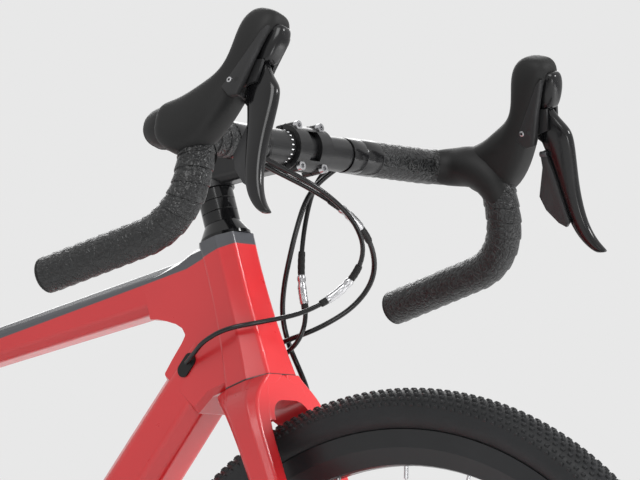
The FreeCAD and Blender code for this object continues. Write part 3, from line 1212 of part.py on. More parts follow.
def rotor(name, axle, plane):
    half = LEFT * (float(sz.rotor_thickness) / 2)
    disc = rod(half * -1, half, float(sz.rotor_radius))
    disc = disc.cut(rod(half * -2, half * 2, float(sz.rotor_radius) - float(sz.rotor_band)))
    centre = rod(half * -1, half, float(sz.rotor_hub))
    reach = float(sz.rotor_radius) - float(sz.rotor_band) / 2
    arms = []
    for k in range(rotor_arms):
        arm = Part.makeBox(reach, float(sz.rotor_thickness), float(sz.rotor_arm))
        arm.translate(vec(0, -sz.rotor_thickness / 2, sz.rotor_arm / 2))
        arm.rotate(vec(0, 0, 0), LEFT, k * 360.0 / rotor_arms)
        arms.append(arm)
    disc = disc.multiFuse([centre] + arms)
    bores = [rod(half * -2, half * 2, float(sz.carrier_radius) + float(sz.seat_clearance))]
    for k in range(rotor_holes):
        turn = math.radians(k * 360.0 / rotor_holes)
        out = float(sz.rotor_radius) - float(sz.rotor_band) * hole_row_shares[k % 2]
        spot = vec(out * math.cos(turn), 0, out * math.sin(turn))
        bores.append(rod(spot - half * 2, spot + half * 2, float(sz.rotor_hole)))
    disc = disc.cut(Part.makeCompound(bores))
    thing = solid(name + "_rotor", disc.removeSplitter())
    thing.Placement = Placement(axle + LEFT * float(plane), Rotation())
    keep(thing, name + "_rotor")


front_plane = sz.front_spacing / 2 - sz.front_rotor_inset
rear_plane = sz.rear_spacing / 2 - sz.rear_rotor_inset
wheel("front", front_axle, sz.front_spacing, sz.front_flange, sz.front_left_flange, sz.front_right_flange,
      front_plane, False)
wheel("rear", rear_axle, sz.rear_spacing, sz.rear_flange, sz.rear_left_flange, sz.rear_right_flange,
      rear_plane, True)

# Thru axles with a low head on the left


def thru_axle(name, centre, half, wall):
    reach = half + wall
    shank = cylinder(name + "_shank", sz.axle_radius, reach * 2, centre - LEFT * float(reach), LEFT)
    head = cylinder(name + "_head", sz.axle_head, sz.axle_head_height, centre + LEFT * float(reach), LEFT)
    keep(fuse(name, [shank, head]), name)


thru_axle("front_axle", front_axle, sz.front_spacing / 2, sz.dropout_width)
thru_axle("rear_axle", rear_axle, sz.rear_spacing / 2, sz.dropout_thickness)

# Calipers and pads: a block with a slot for the rotor, and a pad each side that slides to it


# The caliper lies with its length along X and its seat face down, the rotor slot across Y
def caliper_shape():
    length = float(sz.caliper_length)
    tall = float(sz.caliper_height)
    wide = float(sz.caliper_inner + sz.caliper_outer)
    shape = Part.makeBox(length, wide, tall, vec(-length / 2, -sz.caliper_inner, 0))
    ends = [edge for edge in shape.Edges if abs(edge.CenterOfMass.z - tall) < float(sz.gap)]
    shape = shape.makeFillet(float(sz.caliper_round), ends)
    slot_half = float(sz.rotor_thickness) / 2 + float(sz.pad_gap) + float(sz.pad_thickness) + float(sz.gap)
    slot_length = length - float(sz.caliper_bridge)
    slot_corner = vec(-length / 2 - extra, -slot_half, -tall / 2)
    slot_box = Part.makeBox(slot_length + extra, slot_half * 2, tall * 2, slot_corner)
    return shape.cut(slot_box)


def pad_shape_at(side):
    inner = float(sz.rotor_thickness) / 2 + float(sz.pad_gap)
    start = inner if side > 0 else -inner - float(sz.pad_thickness)
    corner = vec(-sz.pad_length / 2, start, sz.pad_lift)
    return Part.makeBox(float(sz.pad_length), float(sz.pad_thickness), float(sz.pad_height), corner)


def brake(name, place):
    thing = solid(name + "_caliper", caliper_shape())
    thing.Placement = place
    keep(thing, name + "_caliper")
    for word, side in SIDES.items():
        pad = solid("%s_pad_%s" % (name, word), pad_shape_at(side))
        pad.Placement = place
        keep(pad, "%s_pad_%s" % (name, word))


rear_seat = rear_axle + vec(sz.caliper_forward, rear_rotor_plane, sz.caliper_lift)
brake("rear", Placement(rear_seat, Rotation()))
front_seat = vec(mount_face, front_rotor_plane, sz.front_caliper_height)
front_place = steer.multiply(Placement(front_seat, Rotation(LEFT, -90)))
brake("front", front_place)

# Drive: toothed rings from the chain's pitch
outer_teeth = 46
inner_teeth = 30
cassette_teeth = (34, 30, 26, 23, 20, 17, 15, 13, 11)
engaged = 5
pulley_teeth = 12
tooth_shares = (0.0, 0.3, 0.42, 0.58, 0.7)


def pitch_radius(teeth):
    return float(sz.chain_pitch) / (2 * math.sin(math.pi / teeth))


# A toothed disc in the XZ plane with the middle of its first valley at the given angle
def toothed(teeth, thickness, bore, phase=0.0):
    root = pitch_radius(teeth) - float(sz.tooth_fall)
    tip = pitch_radius(teeth) + float(sz.tooth_rise)
    heights = (root, root, tip, tip, root)
    points = []
    for k in range(teeth):
        for share, radius in zip(tooth_shares[1:], heights[1:]):
            angle = phase + 2 * math.pi * (k + share) / teeth
            points.append(vec(radius * math.cos(angle), -thickness / 2, radius * math.sin(angle)))
    face = Part.Face(Part.makePolygon(points + [points[0]]))
    disc = face.extrude(LEFT * thickness)
    return disc.cut(rod(LEFT * -thickness, LEFT * thickness, bore))


ring_thick = float(sz.ring_thickness)
outer_ring = toothed(outer_teeth, ring_thick, float(sz.outer_ring_bore))
outer_ring.translate(bracket - LEFT * float(sz.chain_plane))
inner_ring = toothed(inner_teeth, ring_thick, float(sz.inner_ring_bore))
inner_plane = float(sz.chain_plane) - float(sz.ring_spacing)
inner_ring.translate(bracket - LEFT * inner_plane)
spider_out = float(sz.chain_plane) - ring_thick / 2
spider_in = inner_plane + ring_thick / 2
tabs = []
ring_bolts = []
arm_angles = (45, 135, 225, 315)
for angle in arm_angles:
    turn = math.radians(angle)
    spot = bracket + vec(math.cos(turn), 0, math.sin(turn)) * float(sz.spider_reach)
    tabs.append(rod(spot - LEFT * spider_out, spot - LEFT * spider_in, float(sz.spider_tab)))
    outside = spot - LEFT * (float(sz.chain_plane) + ring_thick / 2)
    ring_bolts.append(rod(outside, outside - LEFT * float(sz.ring_bolt_height), float(sz.ring_bolt)))
keep(solid("chainrings", Part.makeCompound([outer_ring, inner_ring] + ring_bolts)), "chainrings")

# Crank arms: a loft from the spindle to the pedal eye, with bosses at both ends
cup_outer = float(cup_end)
plane_root = float(sz.arm_root_plane)
plane_end = float(sz.arm_end_plane)
half_thick = float(sz.arm_thick) / 2


def crank_arm(side, ahead):
    centre = bracket + LEFT * (side * plane_root)
    tip = bracket + LEFT * (side * plane_end) + FORWARD * (ahead * float(sz.crank_length))
    middle = centre * half_way + tip * half_way
    arm = loft([section(centre, LEFT, UP, half_thick, float(sz.arm_tall) / 2),
                section(middle, LEFT, UP, half_thick, float(sz.arm_end_tall) / 2),
                section(tip, LEFT, UP, half_thick, float(sz.arm_end_tall) / 2)])
    boss_start = bracket + LEFT * (side * (cup_outer + float(sz.gap)))
    boss = rod(boss_start, centre + LEFT * (side * half_thick), float(sz.boss_outer))
    eye = rod(tip - LEFT * half_thick, tip + LEFT * half_thick, float(sz.eye_radius))
    shape = arm.multiFuse([boss, eye])
    hole = float(sz.pedal_axle) + float(sz.running_clearance)
    return shape.cut(rod(tip - LEFT * 2 * half_thick, tip + LEFT * 2 * half_thick, hole))


right_arm = crank_arm(-1, 1)
spindle_end = bracket + LEFT * (plane_root + half_thick)
spindle = rod(bracket - LEFT * plane_root, spindle_end, float(sz.spindle_radius))
spider = []
arm_low = cup_outer + float(sz.gap)
for angle in arm_angles:
    arm = Part.makeBox(float(sz.spider_reach), spider_out - arm_low, float(sz.spider_arm))
    arm.translate(vec(0, -spider_out, -sz.spider_arm / 2))
    arm.rotate(vec(0, 0, 0), LEFT, -angle)
    arm.translate(bracket)
    spider.append(arm)
right_shape = right_arm.multiFuse([spindle] + spider + tabs)
keep(solid("crank_right", right_shape.removeSplitter()), "crank_right")
left_arm = crank_arm(1, -1)
spindle_hole = float(sz.spindle_radius) + float(sz.seat_clearance)
left_arm = left_arm.cut(rod(bracket, bracket + LEFT * plane_end * 2, spindle_hole))
keep(solid("crank_left", left_arm.removeSplitter()), "crank_left")

# Pedals: an axle in the crank's eye, and a framed platform that turns with it
pedal_round_share = 0.8


def pedal(name, side, ahead):
    tip = bracket + LEFT * (side * plane_end) + FORWARD * (ahead * float(sz.crank_length))
    face = tip + LEFT * (side * (half_thick + float(sz.gap)))
    start = face + LEFT * (side * float(sz.pedal_flange))
    long = float(sz.pedal_length)
    wide = float(sz.pedal_width)
    thick = float(sz.pedal_thick)
    bar = float(sz.pedal_frame)

    def slab(x_size, y_start, y_size):
        shape = Part.makeBox(x_size, y_size, thick)
        low_y = start.y + side * y_start - (y_size if side < 0 else 0)
        shape.translate(vec(tip.x - x_size / 2, low_y, tip.z - thick / 2))
        return shape

    frame_box = slab(wide, 0, long)
    upright = [edge for edge in frame_box.Edges
               if abs(edge.Vertexes[0].Point.z - edge.Vertexes[1].Point.z) > thick / 2]
    frame_box = frame_box.makeFillet(bar * pedal_round_share, upright)
    hole = slab(wide - 2 * bar, bar, long - 2 * bar)
    hub = rod(start, start + LEFT * (side * long), float(sz.pedal_hub))
    spine = slab(bar, 0, long)
    cage = frame_box.cut(hole).multiFuse([hub, spine])
    axle_start = tip - LEFT * (side * half_thick)
    shank = rod(axle_start, start, float(sz.pedal_axle))
    collar_shape = rod(face, start, float(sz.pedal_hub))
    keep(solid(name, cage.multiFuse([shank, collar_shape]).removeSplitter()), name)


pedal("pedal_right", -1, 1)
pedal("pedal_left", 1, -1)

# Cassette: toothed discs on a driver that turns on the hub
driver_bore = float(sz.driver_radius) + float(sz.running_clearance)
first_plane = float(sz.chain_plane) - engaged * float(sz.sprocket_pitch)
last_plane = first_plane + (len(cassette_teeth) - 1) * float(sz.sprocket_pitch)
driver_start = float(sz.rear_right_flange) + float(sz.flange_thickness) / 2 + float(sz.gap)
driver_end = float(sz.rear_spacing) / 2 - float(sz.gap) * 2
discs = [rod(LEFT * -driver_start, LEFT * -driver_end, float(sz.freehub_radius))]
for i, teeth in enumerate(cassette_teeth):
    disc = toothed(teeth, float(sz.sprocket_thickness), float(sz.driver_radius))
    disc.translate(LEFT * -(first_plane + i * float(sz.sprocket_pitch)))
    discs.append(disc)
cassette_shape = discs[0].multiFuse(discs[1:])
cassette_shape = cassette_shape.cut(rod(vec(0, 0, 0), LEFT * -float(sz.rear_spacing), driver_bore))
cassette = keep(solid("cassette", cassette_shape), "cassette")
cassette.Placement = Placement(rear_axle, Rotation())

# Rear mech places: guide and tension pulley, hanger bolt and the two link pivots
chain_side = LEFT * -float(sz.chain_plane)
guide = vec(rear_axle.x + float(sz.guide_forward), -sz.chain_plane, rear_axle.z - float(sz.guide_drop))
tension = guide + vec(sz.tension_forward, 0, -sz.tension_drop)


# The chain runs round four circles; a negative radius turns the other way
chain_stops = [(bracket + chain_side, pitch_radius(outer_teeth)),
               (rear_axle + chain_side, pitch_radius(cassette_teeth[engaged])),
               (guide, -pitch_radius(pulley_teeth)), (tension, pitch_radius(pulley_teeth))]


# The straight runs between the circles, moved out by an offset
def chain_runs(offset):
    runs = []
    for i, (centre, radius) in enumerate(chain_stops):
        after, next_radius = chain_stops[(i + 1) % len(chain_stops)]
        run = after - centre
        heading = math.atan2(run.z, run.x)
        normal = heading - math.acos((radius - next_radius) / run.Length)
        out = vec(math.cos(normal), 0, math.sin(normal))
        runs.append((centre + out * (radius + offset), after + out * (next_radius + offset)))
    return runs


def chain_loop(offset):
    runs = chain_runs(offset)
    edges = []
    for i, (centre, radius) in enumerate(chain_stops):
        arrive = runs[i - 1][1]
        leave = runs[i][0]
        turn_in = math.atan2(arrive.z - centre.z, arrive.x - centre.x)
        turn_out = math.atan2(leave.z - centre.z, leave.x - centre.x)
        way = 1 if radius > 0 else -1
        sweep = (way * (turn_out - turn_in)) % (2 * math.pi)
        middle = turn_in + way * sweep / 2
        crest = centre + vec(math.cos(middle), 0, math.sin(middle)) * abs(radius + offset)
        edges.append(Part.Arc(arrive, crest, leave).toShape())
        edges.append(Part.LineSegment(*runs[i]).toShape())
    return Part.Wire(edges)


outer_loop = chain_loop(float(sz.chain_half_height))
inner_loop = chain_loop(-float(sz.chain_half_height))
band = Part.Face(outer_loop).cut(Part.Face(inner_loop))
thick = float(sz.plate_thickness)
outer_face = float(sz.chain_half_width)
strips = []
for start in (-outer_face, outer_face - thick):
    strip = band.copy()
    strip.translate(LEFT * start)
    strips.append(strip.extrude(LEFT * thick))
free_pins = 2
pins = []
pin_half = LEFT * (outer_face - thick / 2)
pitch_runs = chain_runs(0)
for start, end in (pitch_runs[0], pitch_runs[-1]):
    run = end - start
    count = int(run.Length / float(sz.chain_pitch))
    for k in range(free_pins, count - free_pins - 1):
        spot = start + run * ((k * float(sz.chain_pitch)) / run.Length)
        pins.append(rod(spot - pin_half, spot + pin_half, float(sz.chain_pin)))
chain_shape = strips[0].multiFuse([strips[1]] + pins)
keep(solid("chain", chain_shape), "chain")

link_top = vec(rear_axle.x - float(sz.link_back), -sz.link_out, rear_axle.z - float(sz.link_drop))
link_low = vec(rear_axle.x + float(sz.knuckle_forward), -sz.knuckle_out, rear_axle.z - float(sz.knuckle_drop))
link_run = link_low - link_top
pivot_line = vec(-link_run.z, 0, link_run.x).normalize()
link_square = pivot_line.cross(LEFT).normalize()
link_square = link_square if link_square.z > 0 else link_square * -1
link_half = float(sz.link_half)
pin_radius = float(sz.link_pin)
knob = float(sz.knob_radius)
knob_start = link_half + float(sz.gap)
knob_end = knob_start + float(sz.knob_length)
mech_centre = vec(hanger_end.x, -sz.link_out, hanger_end.z)
housing_stop = mech_centre - vec(sz.stop_back, sz.stop_out, sz.stop_drop)
bolt_share = 1.6
bolt_end = hanger_end - LEFT * float(sz.dropout_thickness) * bolt_share
gap_out = LEFT * float(sz.gap)
base_shape = rod(hanger_end - gap_out, bolt_end, float(sz.mech_bolt))
knob_tip = link_top + pivot_line * knob_end
base_shape = base_shape.multiFuse([rod(hanger_place + gap_out, hanger_end - gap_out * 2, float(sz.hanger_bolt)),
                                   rod(link_top + pivot_line * knob_start, knob_tip, knob),
                                   rod(link_top - pivot_line * link_half, knob_tip, pin_radius),
                                   rod(link_top + pivot_line * knob_end, mech_centre, float(sz.mech_strut)),
                                   rod(mech_centre, housing_stop, float(sz.housing_stop))])
keep(solid("rear_mech_base", base_shape.removeSplitter()), "rear_mech_base")
barrels = [rod(place - pivot_line * link_half, place + pivot_line * link_half, float(sz.link_radius))
           for place in (link_top, link_low)]
link_way = vec(link_run.x, link_run.y, link_run.z).normalize()
link_side = pivot_line.cross(link_way).normalize()
link_bar = Part.makeBox(link_run.Length, float(sz.link_thick), float(sz.link_tall))
link_bar.translate(vec(0, -sz.link_thick / 2, -sz.link_tall / 2))
link_place = Placement(link_top, Rotation(link_way, link_side, pivot_line, "XZY"))
link_bar.Placement = link_place.multiply(link_bar.Placement)
link_shape = barrels[0].multiFuse([barrels[1], link_bar])
bore = pin_radius + float(sz.running_clearance)
for place in (link_top, link_low):
    link_shape = link_shape.cut(rod(place - pivot_line * knob_end, place + pivot_line * knob_end, bore))
keep(solid("rear_mech_links", link_shape.removeSplitter()), "rear_mech_links")
knuckle_in = float(sz.chain_plane) + float(sz.cage_gap) + float(sz.cage_plate) + float(sz.gap)
guide_mid = vec(guide.x, 0, guide.z)
knuckle_end = float(sz.knuckle_out) + float(sz.link_radius)
knob_low = link_low - pivot_line * knob_end
knob_top = link_low - pivot_line * knob_start
joint_point = vec(guide.x, link_low.y, guide.z - float(sz.cage_pin))
knob_foot = knob_low - link_square * (knob / 2)
knuckle_shape = rod(guide_mid - LEFT * knuckle_in, guide_mid - LEFT * knuckle_end, float(sz.knuckle_radius))
knuckle_shape = knuckle_shape.multiFuse([rod(knob_low, knob_top, knob),
                                         rod(knob_foot, joint_point, float(sz.cage_pin)),
                                         rod(knob_low, link_low + pivot_line * link_half, pin_radius)])
cage_pin = float(sz.cage_pin)
pin_depth_share = 0.88
pin_hole = cage_pin + float(sz.running_clearance)
pin_depth = LEFT * (knuckle_end * pin_depth_share)
knuckle_shape = knuckle_shape.cut(rod(guide_mid, guide_mid - pin_depth - LEFT * float(sz.gap), pin_hole))
keep(solid("rear_mech_knuckle", knuckle_shape.removeSplitter()), "rear_mech_knuckle")

# The cage: two slim plates with a bolt at each pulley
cage_waist_share = 0.75


def cage_plate_at(near):
    start = LEFT * -near
    end = LEFT * -(near + float(sz.cage_plate))
    low_mid = vec(tension.x, 0, tension.z)
    radius = float(sz.cage_half)
    run = low_mid - guide_mid
    half_tall = radius * cage_waist_share
    slab = Part.makeBox(run.Length, float(sz.cage_plate), half_tall * 2)
    slab.translate(vec(0, -near - float(sz.cage_plate), -half_tall))
    slab.Placement = Placement(guide_mid, Rotation(FORWARD, run)).multiply(slab.Placement)
    ends = [rod(middle + start, middle + end, radius) for middle in (guide_mid, low_mid)]
    return ends[0].multiFuse([ends[1], slab])


near_plate = float(sz.chain_plane) - float(sz.cage_gap) - float(sz.cage_plate)
far_plate = float(sz.chain_plane) + float(sz.cage_gap)
cage_parts = [cage_plate_at(near_plate), cage_plate_at(far_plate)]
low_guide = vec(tension.x, 0, tension.z)
cage_parts.append(rod(low_guide - LEFT * near_plate, low_guide - LEFT * far_plate, cage_pin))
cage_parts.append(rod(guide_mid - LEFT * near_plate, guide_mid - pin_depth, cage_pin))
keep(solid("rear_mech_cage", cage_parts[0].multiFuse(cage_parts[1:]).removeSplitter()), "rear_mech_cage")
hub_length_share = 0.8
hub_share = 1.7
for name, place in (("guide_pulley", guide), ("tension_pulley", tension)):
    wheel_shape = toothed(pulley_teeth, float(sz.sprocket_thickness), pin_hole)
    room = LEFT * float(sz.cage_gap)
    pulley_hub = rod(room * -hub_length_share, room * hub_length_share, cage_pin * hub_share)
    pulley_hub = pulley_hub.cut(rod(room * -1, room, pin_hole))
    pulley = keep(solid(name, wheel_shape.fuse(pulley_hub).removeSplitter()), name)
    pulley.Placement = Placement(place, Rotation())

# Front mech: a band on the seat tube with an arm, and a cage that swings from it
cage_skirt_share = 0.35
roof_shares = (0.35, 0.5)
hang_share = 0.9
band_low = seat.multVec(vec(0, 0, sz.band_height))
band_top = seat.multVec(vec(0, 0, sz.band_height + sz.band_tall))
tube_radius = float(sz.seat_tube_radius)
band_shape = rod(band_low, band_top, tube_radius + float(sz.band_wall))
pivot_z = band_low.z + float(sz.band_tall) / 2
pivot_y = -float(sz.mech_pivot_out)
arm_reach = float(sz.mech_pivot_out) + float(sz.mech_pivot_radius)
arm_box = Part.makeBox(float(sz.mech_arm), arm_reach, float(sz.band_tall))
arm_box.translate(vec(band_low.x - float(sz.mech_arm), pivot_y - float(sz.mech_pivot_radius), band_low.z))
pin_start = vec(band_low.x, pivot_y, pivot_z)
pin_run = FORWARD * float(sz.mech_lug)
mech_pin = rod(pin_start - FORWARD * extra, pin_start + pin_run, float(sz.mech_pivot_radius))
band_shape = band_shape.multiFuse([arm_box, mech_pin])
band_bore = tube_radius + float(sz.seat_clearance)
band_shape = band_shape.cut(rod(bracket, seat.multVec(vec(0, 0, sz.seat_tube_length)), band_bore))
keep(solid("front_mech_base", band_shape.removeSplitter()), "front_mech_base")
lug_radius = float(sz.mech_pivot_radius) * 2
lug_start = pin_start + FORWARD * float(sz.gap)
lug = rod(lug_start, pin_start + FORWARD * float(sz.mech_lug), lug_radius)
ring_top = bracket.z + pitch_radius(outer_teeth) + float(sz.chain_half_height)
cage_bottom = ring_top - float(sz.cage_tall) * cage_skirt_share
cage_top = ring_top + float(sz.cage_tall)
cage_x = bracket.x - float(sz.cage_rear)
cage_length = float(sz.cage_rear) + float(sz.cage_front)
wall_thick = float(sz.cage_wall)
inner_y = -float(sz.chain_plane) + float(sz.cage_room)
outer_y = -float(sz.chain_plane) - float(sz.cage_room) - wall_thick
cage_boxes = []
for y in (inner_y, outer_y):
    wall_box = Part.makeBox(cage_length, wall_thick, cage_top - cage_bottom)
    wall_box.translate(vec(cage_x, y, cage_bottom))
    cage_boxes.append(wall_box)
roof = Part.makeBox(cage_length * roof_shares[1], inner_y + wall_thick - outer_y, wall_thick)
roof.translate(vec(cage_x + cage_length * roof_shares[0], outer_y, cage_top - wall_thick))
hang = Part.makeBox(float(sz.mech_lug) - float(sz.gap), wall_thick * 2, pivot_z - cage_top + wall_thick)
hang.translate(vec(lug_start.x, pivot_y - lug_radius * hang_share, cage_top - wall_thick))
foot_plate = Part.makeBox(float(sz.mech_lug) - float(sz.gap), abs(inner_y - pivot_y) + lug_radius, wall_thick)
foot_plate.translate(vec(lug_start.x, inner_y, cage_top - wall_thick))
mech_shape = cage_boxes[0].multiFuse([cage_boxes[1], roof, hang, foot_plate, lug])
teeth_room = pitch_radius(outer_teeth) + float(sz.tooth_rise) + float(sz.cage_lift)
ring_side = LEFT * (2 * float(sz.chain_plane))
mech_shape = mech_shape.cut(rod(bracket - ring_side, bracket + ring_side, teeth_room))
mech_shape = mech_shape.cut(rod(pin_start - pin_run, pin_start + pin_run * 2,
                                float(sz.mech_pivot_radius) + float(sz.running_clearance)))
keep(solid("front_mech_cage", mech_shape.removeSplitter()), "front_mech_cage")

doc.recompute()

# Every feature has to be sound before anything is written
for thing in doc.Objects:
    if "Invalid" in thing.State or "Error" in thing.State:
        raise RuntimeError("failed feature: " + thing.Name)
for thing in nodes:
    if thing.Shape.isNull() or not thing.Shape.isValid() or not thing.Shape.Solids:
        raise RuntimeError("failed shape: " + thing.Label)

os.makedirs("parts", exist_ok=True)
for thing in nodes:
    thing.Shape.exportStep("parts/%s.step" % thing.Label)
print(len(nodes), "nodes written")
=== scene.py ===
import bpy, bmesh, math
from mathutils import Vector, Matrix


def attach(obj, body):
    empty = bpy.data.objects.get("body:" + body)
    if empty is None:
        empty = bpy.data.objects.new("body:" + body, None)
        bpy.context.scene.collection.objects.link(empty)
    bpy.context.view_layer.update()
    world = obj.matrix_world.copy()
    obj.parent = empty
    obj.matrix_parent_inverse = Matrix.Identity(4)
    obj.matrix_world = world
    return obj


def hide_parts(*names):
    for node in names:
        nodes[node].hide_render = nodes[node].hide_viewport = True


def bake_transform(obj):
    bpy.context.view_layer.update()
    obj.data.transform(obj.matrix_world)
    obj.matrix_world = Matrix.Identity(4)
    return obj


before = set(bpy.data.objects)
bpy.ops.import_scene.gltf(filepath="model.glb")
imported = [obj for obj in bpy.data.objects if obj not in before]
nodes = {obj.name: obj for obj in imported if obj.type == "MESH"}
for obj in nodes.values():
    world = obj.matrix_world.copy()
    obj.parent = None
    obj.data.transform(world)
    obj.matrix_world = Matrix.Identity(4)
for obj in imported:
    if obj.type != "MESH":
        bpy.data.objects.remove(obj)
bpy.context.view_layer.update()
mm = 0.001
fullTurn = 2 * math.pi
print("frame loaded:", len(nodes), "nodes")


def clearSelection():
    if bpy.context.object and bpy.context.object.mode != "OBJECT":
        bpy.ops.object.mode_set(mode="OBJECT")
    bpy.ops.object.select_all(action="DESELECT")


def pick(obj):
    clearSelection()
    obj.select_set(True)
    bpy.context.view_layer.objects.active = obj


def named(name):
    obj = bpy.context.object
    obj.name = name
    obj.data.name = name
    return obj


def applyPlace(obj):
    pick(obj)
    bpy.ops.object.transform_apply(location=True, rotation=True, scale=True)


def applyModifier(obj, kind, **settings):
    pick(obj)
    mod = obj.modifiers.new(kind.title(), kind)
    for key, value in settings.items():
        setattr(mod, key, value)
    bpy.ops.object.modifier_apply(modifier=mod.name)


def bevel(obj, width, segments):
    applyModifier(obj, "BEVEL", width=width, segments=segments)


def subdivide(obj, levels):
    applyModifier(obj, "SUBSURF", levels=levels, render_levels=levels)


def smooth(obj, angle=35):
    pick(obj)
    bpy.ops.object.shade_smooth_by_angle(angle=math.radians(angle))


def join(parts, name):
    clearSelection()
    for part in parts:
        part.select_set(True)
    bpy.context.view_layer.objects.active = parts[0]
    bpy.ops.object.join()
    return named(name)


# ends an edit with every face turned outwards
def closeEdit():
    bpy.ops.mesh.select_all(action="SELECT")
    bpy.ops.mesh.normals_make_consistent(inside=False)
    bpy.ops.object.mode_set(mode="OBJECT")


# a mesh without points, open in edit mode
def blankMesh(name):
    clearSelection()
    bpy.ops.mesh.primitive_plane_add(size=1)
    obj = named(name)
    bpy.ops.object.mode_set(mode="EDIT")
    bpy.ops.mesh.delete(type="VERT")
    return obj, bmesh.from_edit_mesh(obj.data)


# a row of edges, open in edit mode
def lineMesh(name, points):
    obj, bm = blankMesh(name)
    spots = [bm.verts.new(point) for point in points]
    for a, b in zip(spots, spots[1:]):
        bm.edges.new((a, b))
    bmesh.update_edit_mesh(obj.data)
    return obj


# a closed skin through rings of points: one disc, extruded ring by ring
def ringLoft(name, rings):
    clearSelection()
    bpy.ops.mesh.primitive_circle_add(vertices=len(rings[0]), radius=1.0)
    obj = named(name)
    bpy.ops.object.mode_set(mode="EDIT")
    bm = bmesh.from_edit_mesh(obj.data)
    bm.verts.ensure_lookup_table()
    for vert, point in zip(bm.verts, rings[0]):
        vert.co = point
    bpy.ops.mesh.select_all(action="SELECT")
    bpy.ops.mesh.edge_face_add()
    bpy.ops.mesh.select_all(action="SELECT")
    for ring in rings[1:]:
        bpy.ops.mesh.extrude_region_move()
        bm = bmesh.from_edit_mesh(obj.data)
        bm.verts.ensure_lookup_table()
        fresh = [vert for vert in bm.verts if vert.select]
        fresh.sort(key=lambda vert: vert.index)
        for vert, point in zip(fresh, ring):
            vert.co = point
        bmesh.update_edit_mesh(obj.data)
    closeEdit()
    return obj


def mirrorCopy(obj, name):
    pick(obj)
    bpy.ops.object.duplicate()
    twin = named(name)
    bpy.ops.object.mode_set(mode="EDIT")
    bpy.ops.mesh.select_all(action="SELECT")
    bpy.ops.transform.resize(value=(1, -1, 1), center_override=(0, 0, 0))
    closeEdit()
    return twin


# the right piece and its mirror copy; braces in body or node stand for the side
def bothSides(right, name, body, node):
    for piece, word in ((right, "Right"), (mirrorCopy(right, name + "Left"), "Left")):
        piece.name = name + word
        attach(piece, body.format(word.lower()))
        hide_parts(node.format(word.lower()))


def evenTurns(count):
    return [fullTurn * k / count for k in range(count)]


def arcSteps(start, end, count):
    return [start + (end - start) * k / count for k in range(1, count + 1)]


sideHint = Vector((0.3, 1, 0.2))  # a direction that no cable runs along


def ringAt(point, direction, radius, count=16):
    side = direction.cross(sideHint).normalized()
    other = direction.cross(side)
    return [point + (side * math.cos(t) + other * math.sin(t)) * radius for t in evenTurns(count)]


# rings round a straight axis, from pairs of place and radius in millimetres
def axisRings(start, way, pairs, count):
    return [ringAt(start + way * (along * mm), way, radius * mm, count) for along, radius in pairs]


def lineLength(line):
    return sum((b - a).length for a, b in zip(line, line[1:]))


# the part of a line between two distances along it, as points and directions
def stretch(line, start, end, count):
    marks = [0.0]
    for a, b in zip(line, line[1:]):
        marks.append(marks[-1] + (b - a).length)
    found = []
    for k in range(count):
        want = start + (end - start) * k / (count - 1)
        i = max(j for j in range(len(line) - 1) if marks[j] <= want)
        step = line[i + 1] - line[i]
        found.append((line[i] + step * ((want - marks[i]) / step.length), step.normalized()))
    return found


def lineCurve(name, kind, points):
    curve = bpy.data.curves.new(name, "CURVE")
    curve.dimensions = "3D"
    curve.twist_mode = "MINIMUM"
    spline = curve.splines.new(kind)
    spline.points.add(len(points) - 1)
    for spot, point in zip(spline.points, points):
        spot.co = (*point, 1)
    obj = bpy.data.objects.new(name, curve)
    bpy.context.collection.objects.link(obj)
    return obj


def srgb(red, green, blue):
    values = [channel / 255 for channel in (red, green, blue)]
    return [v / 12.92 if v <= 0.04045 else ((v + 0.055) / 1.055) ** 2.4 for v in values] + [1.0]


def grey(tone, cool=0):
    return srgb(tone, tone, tone + cool)


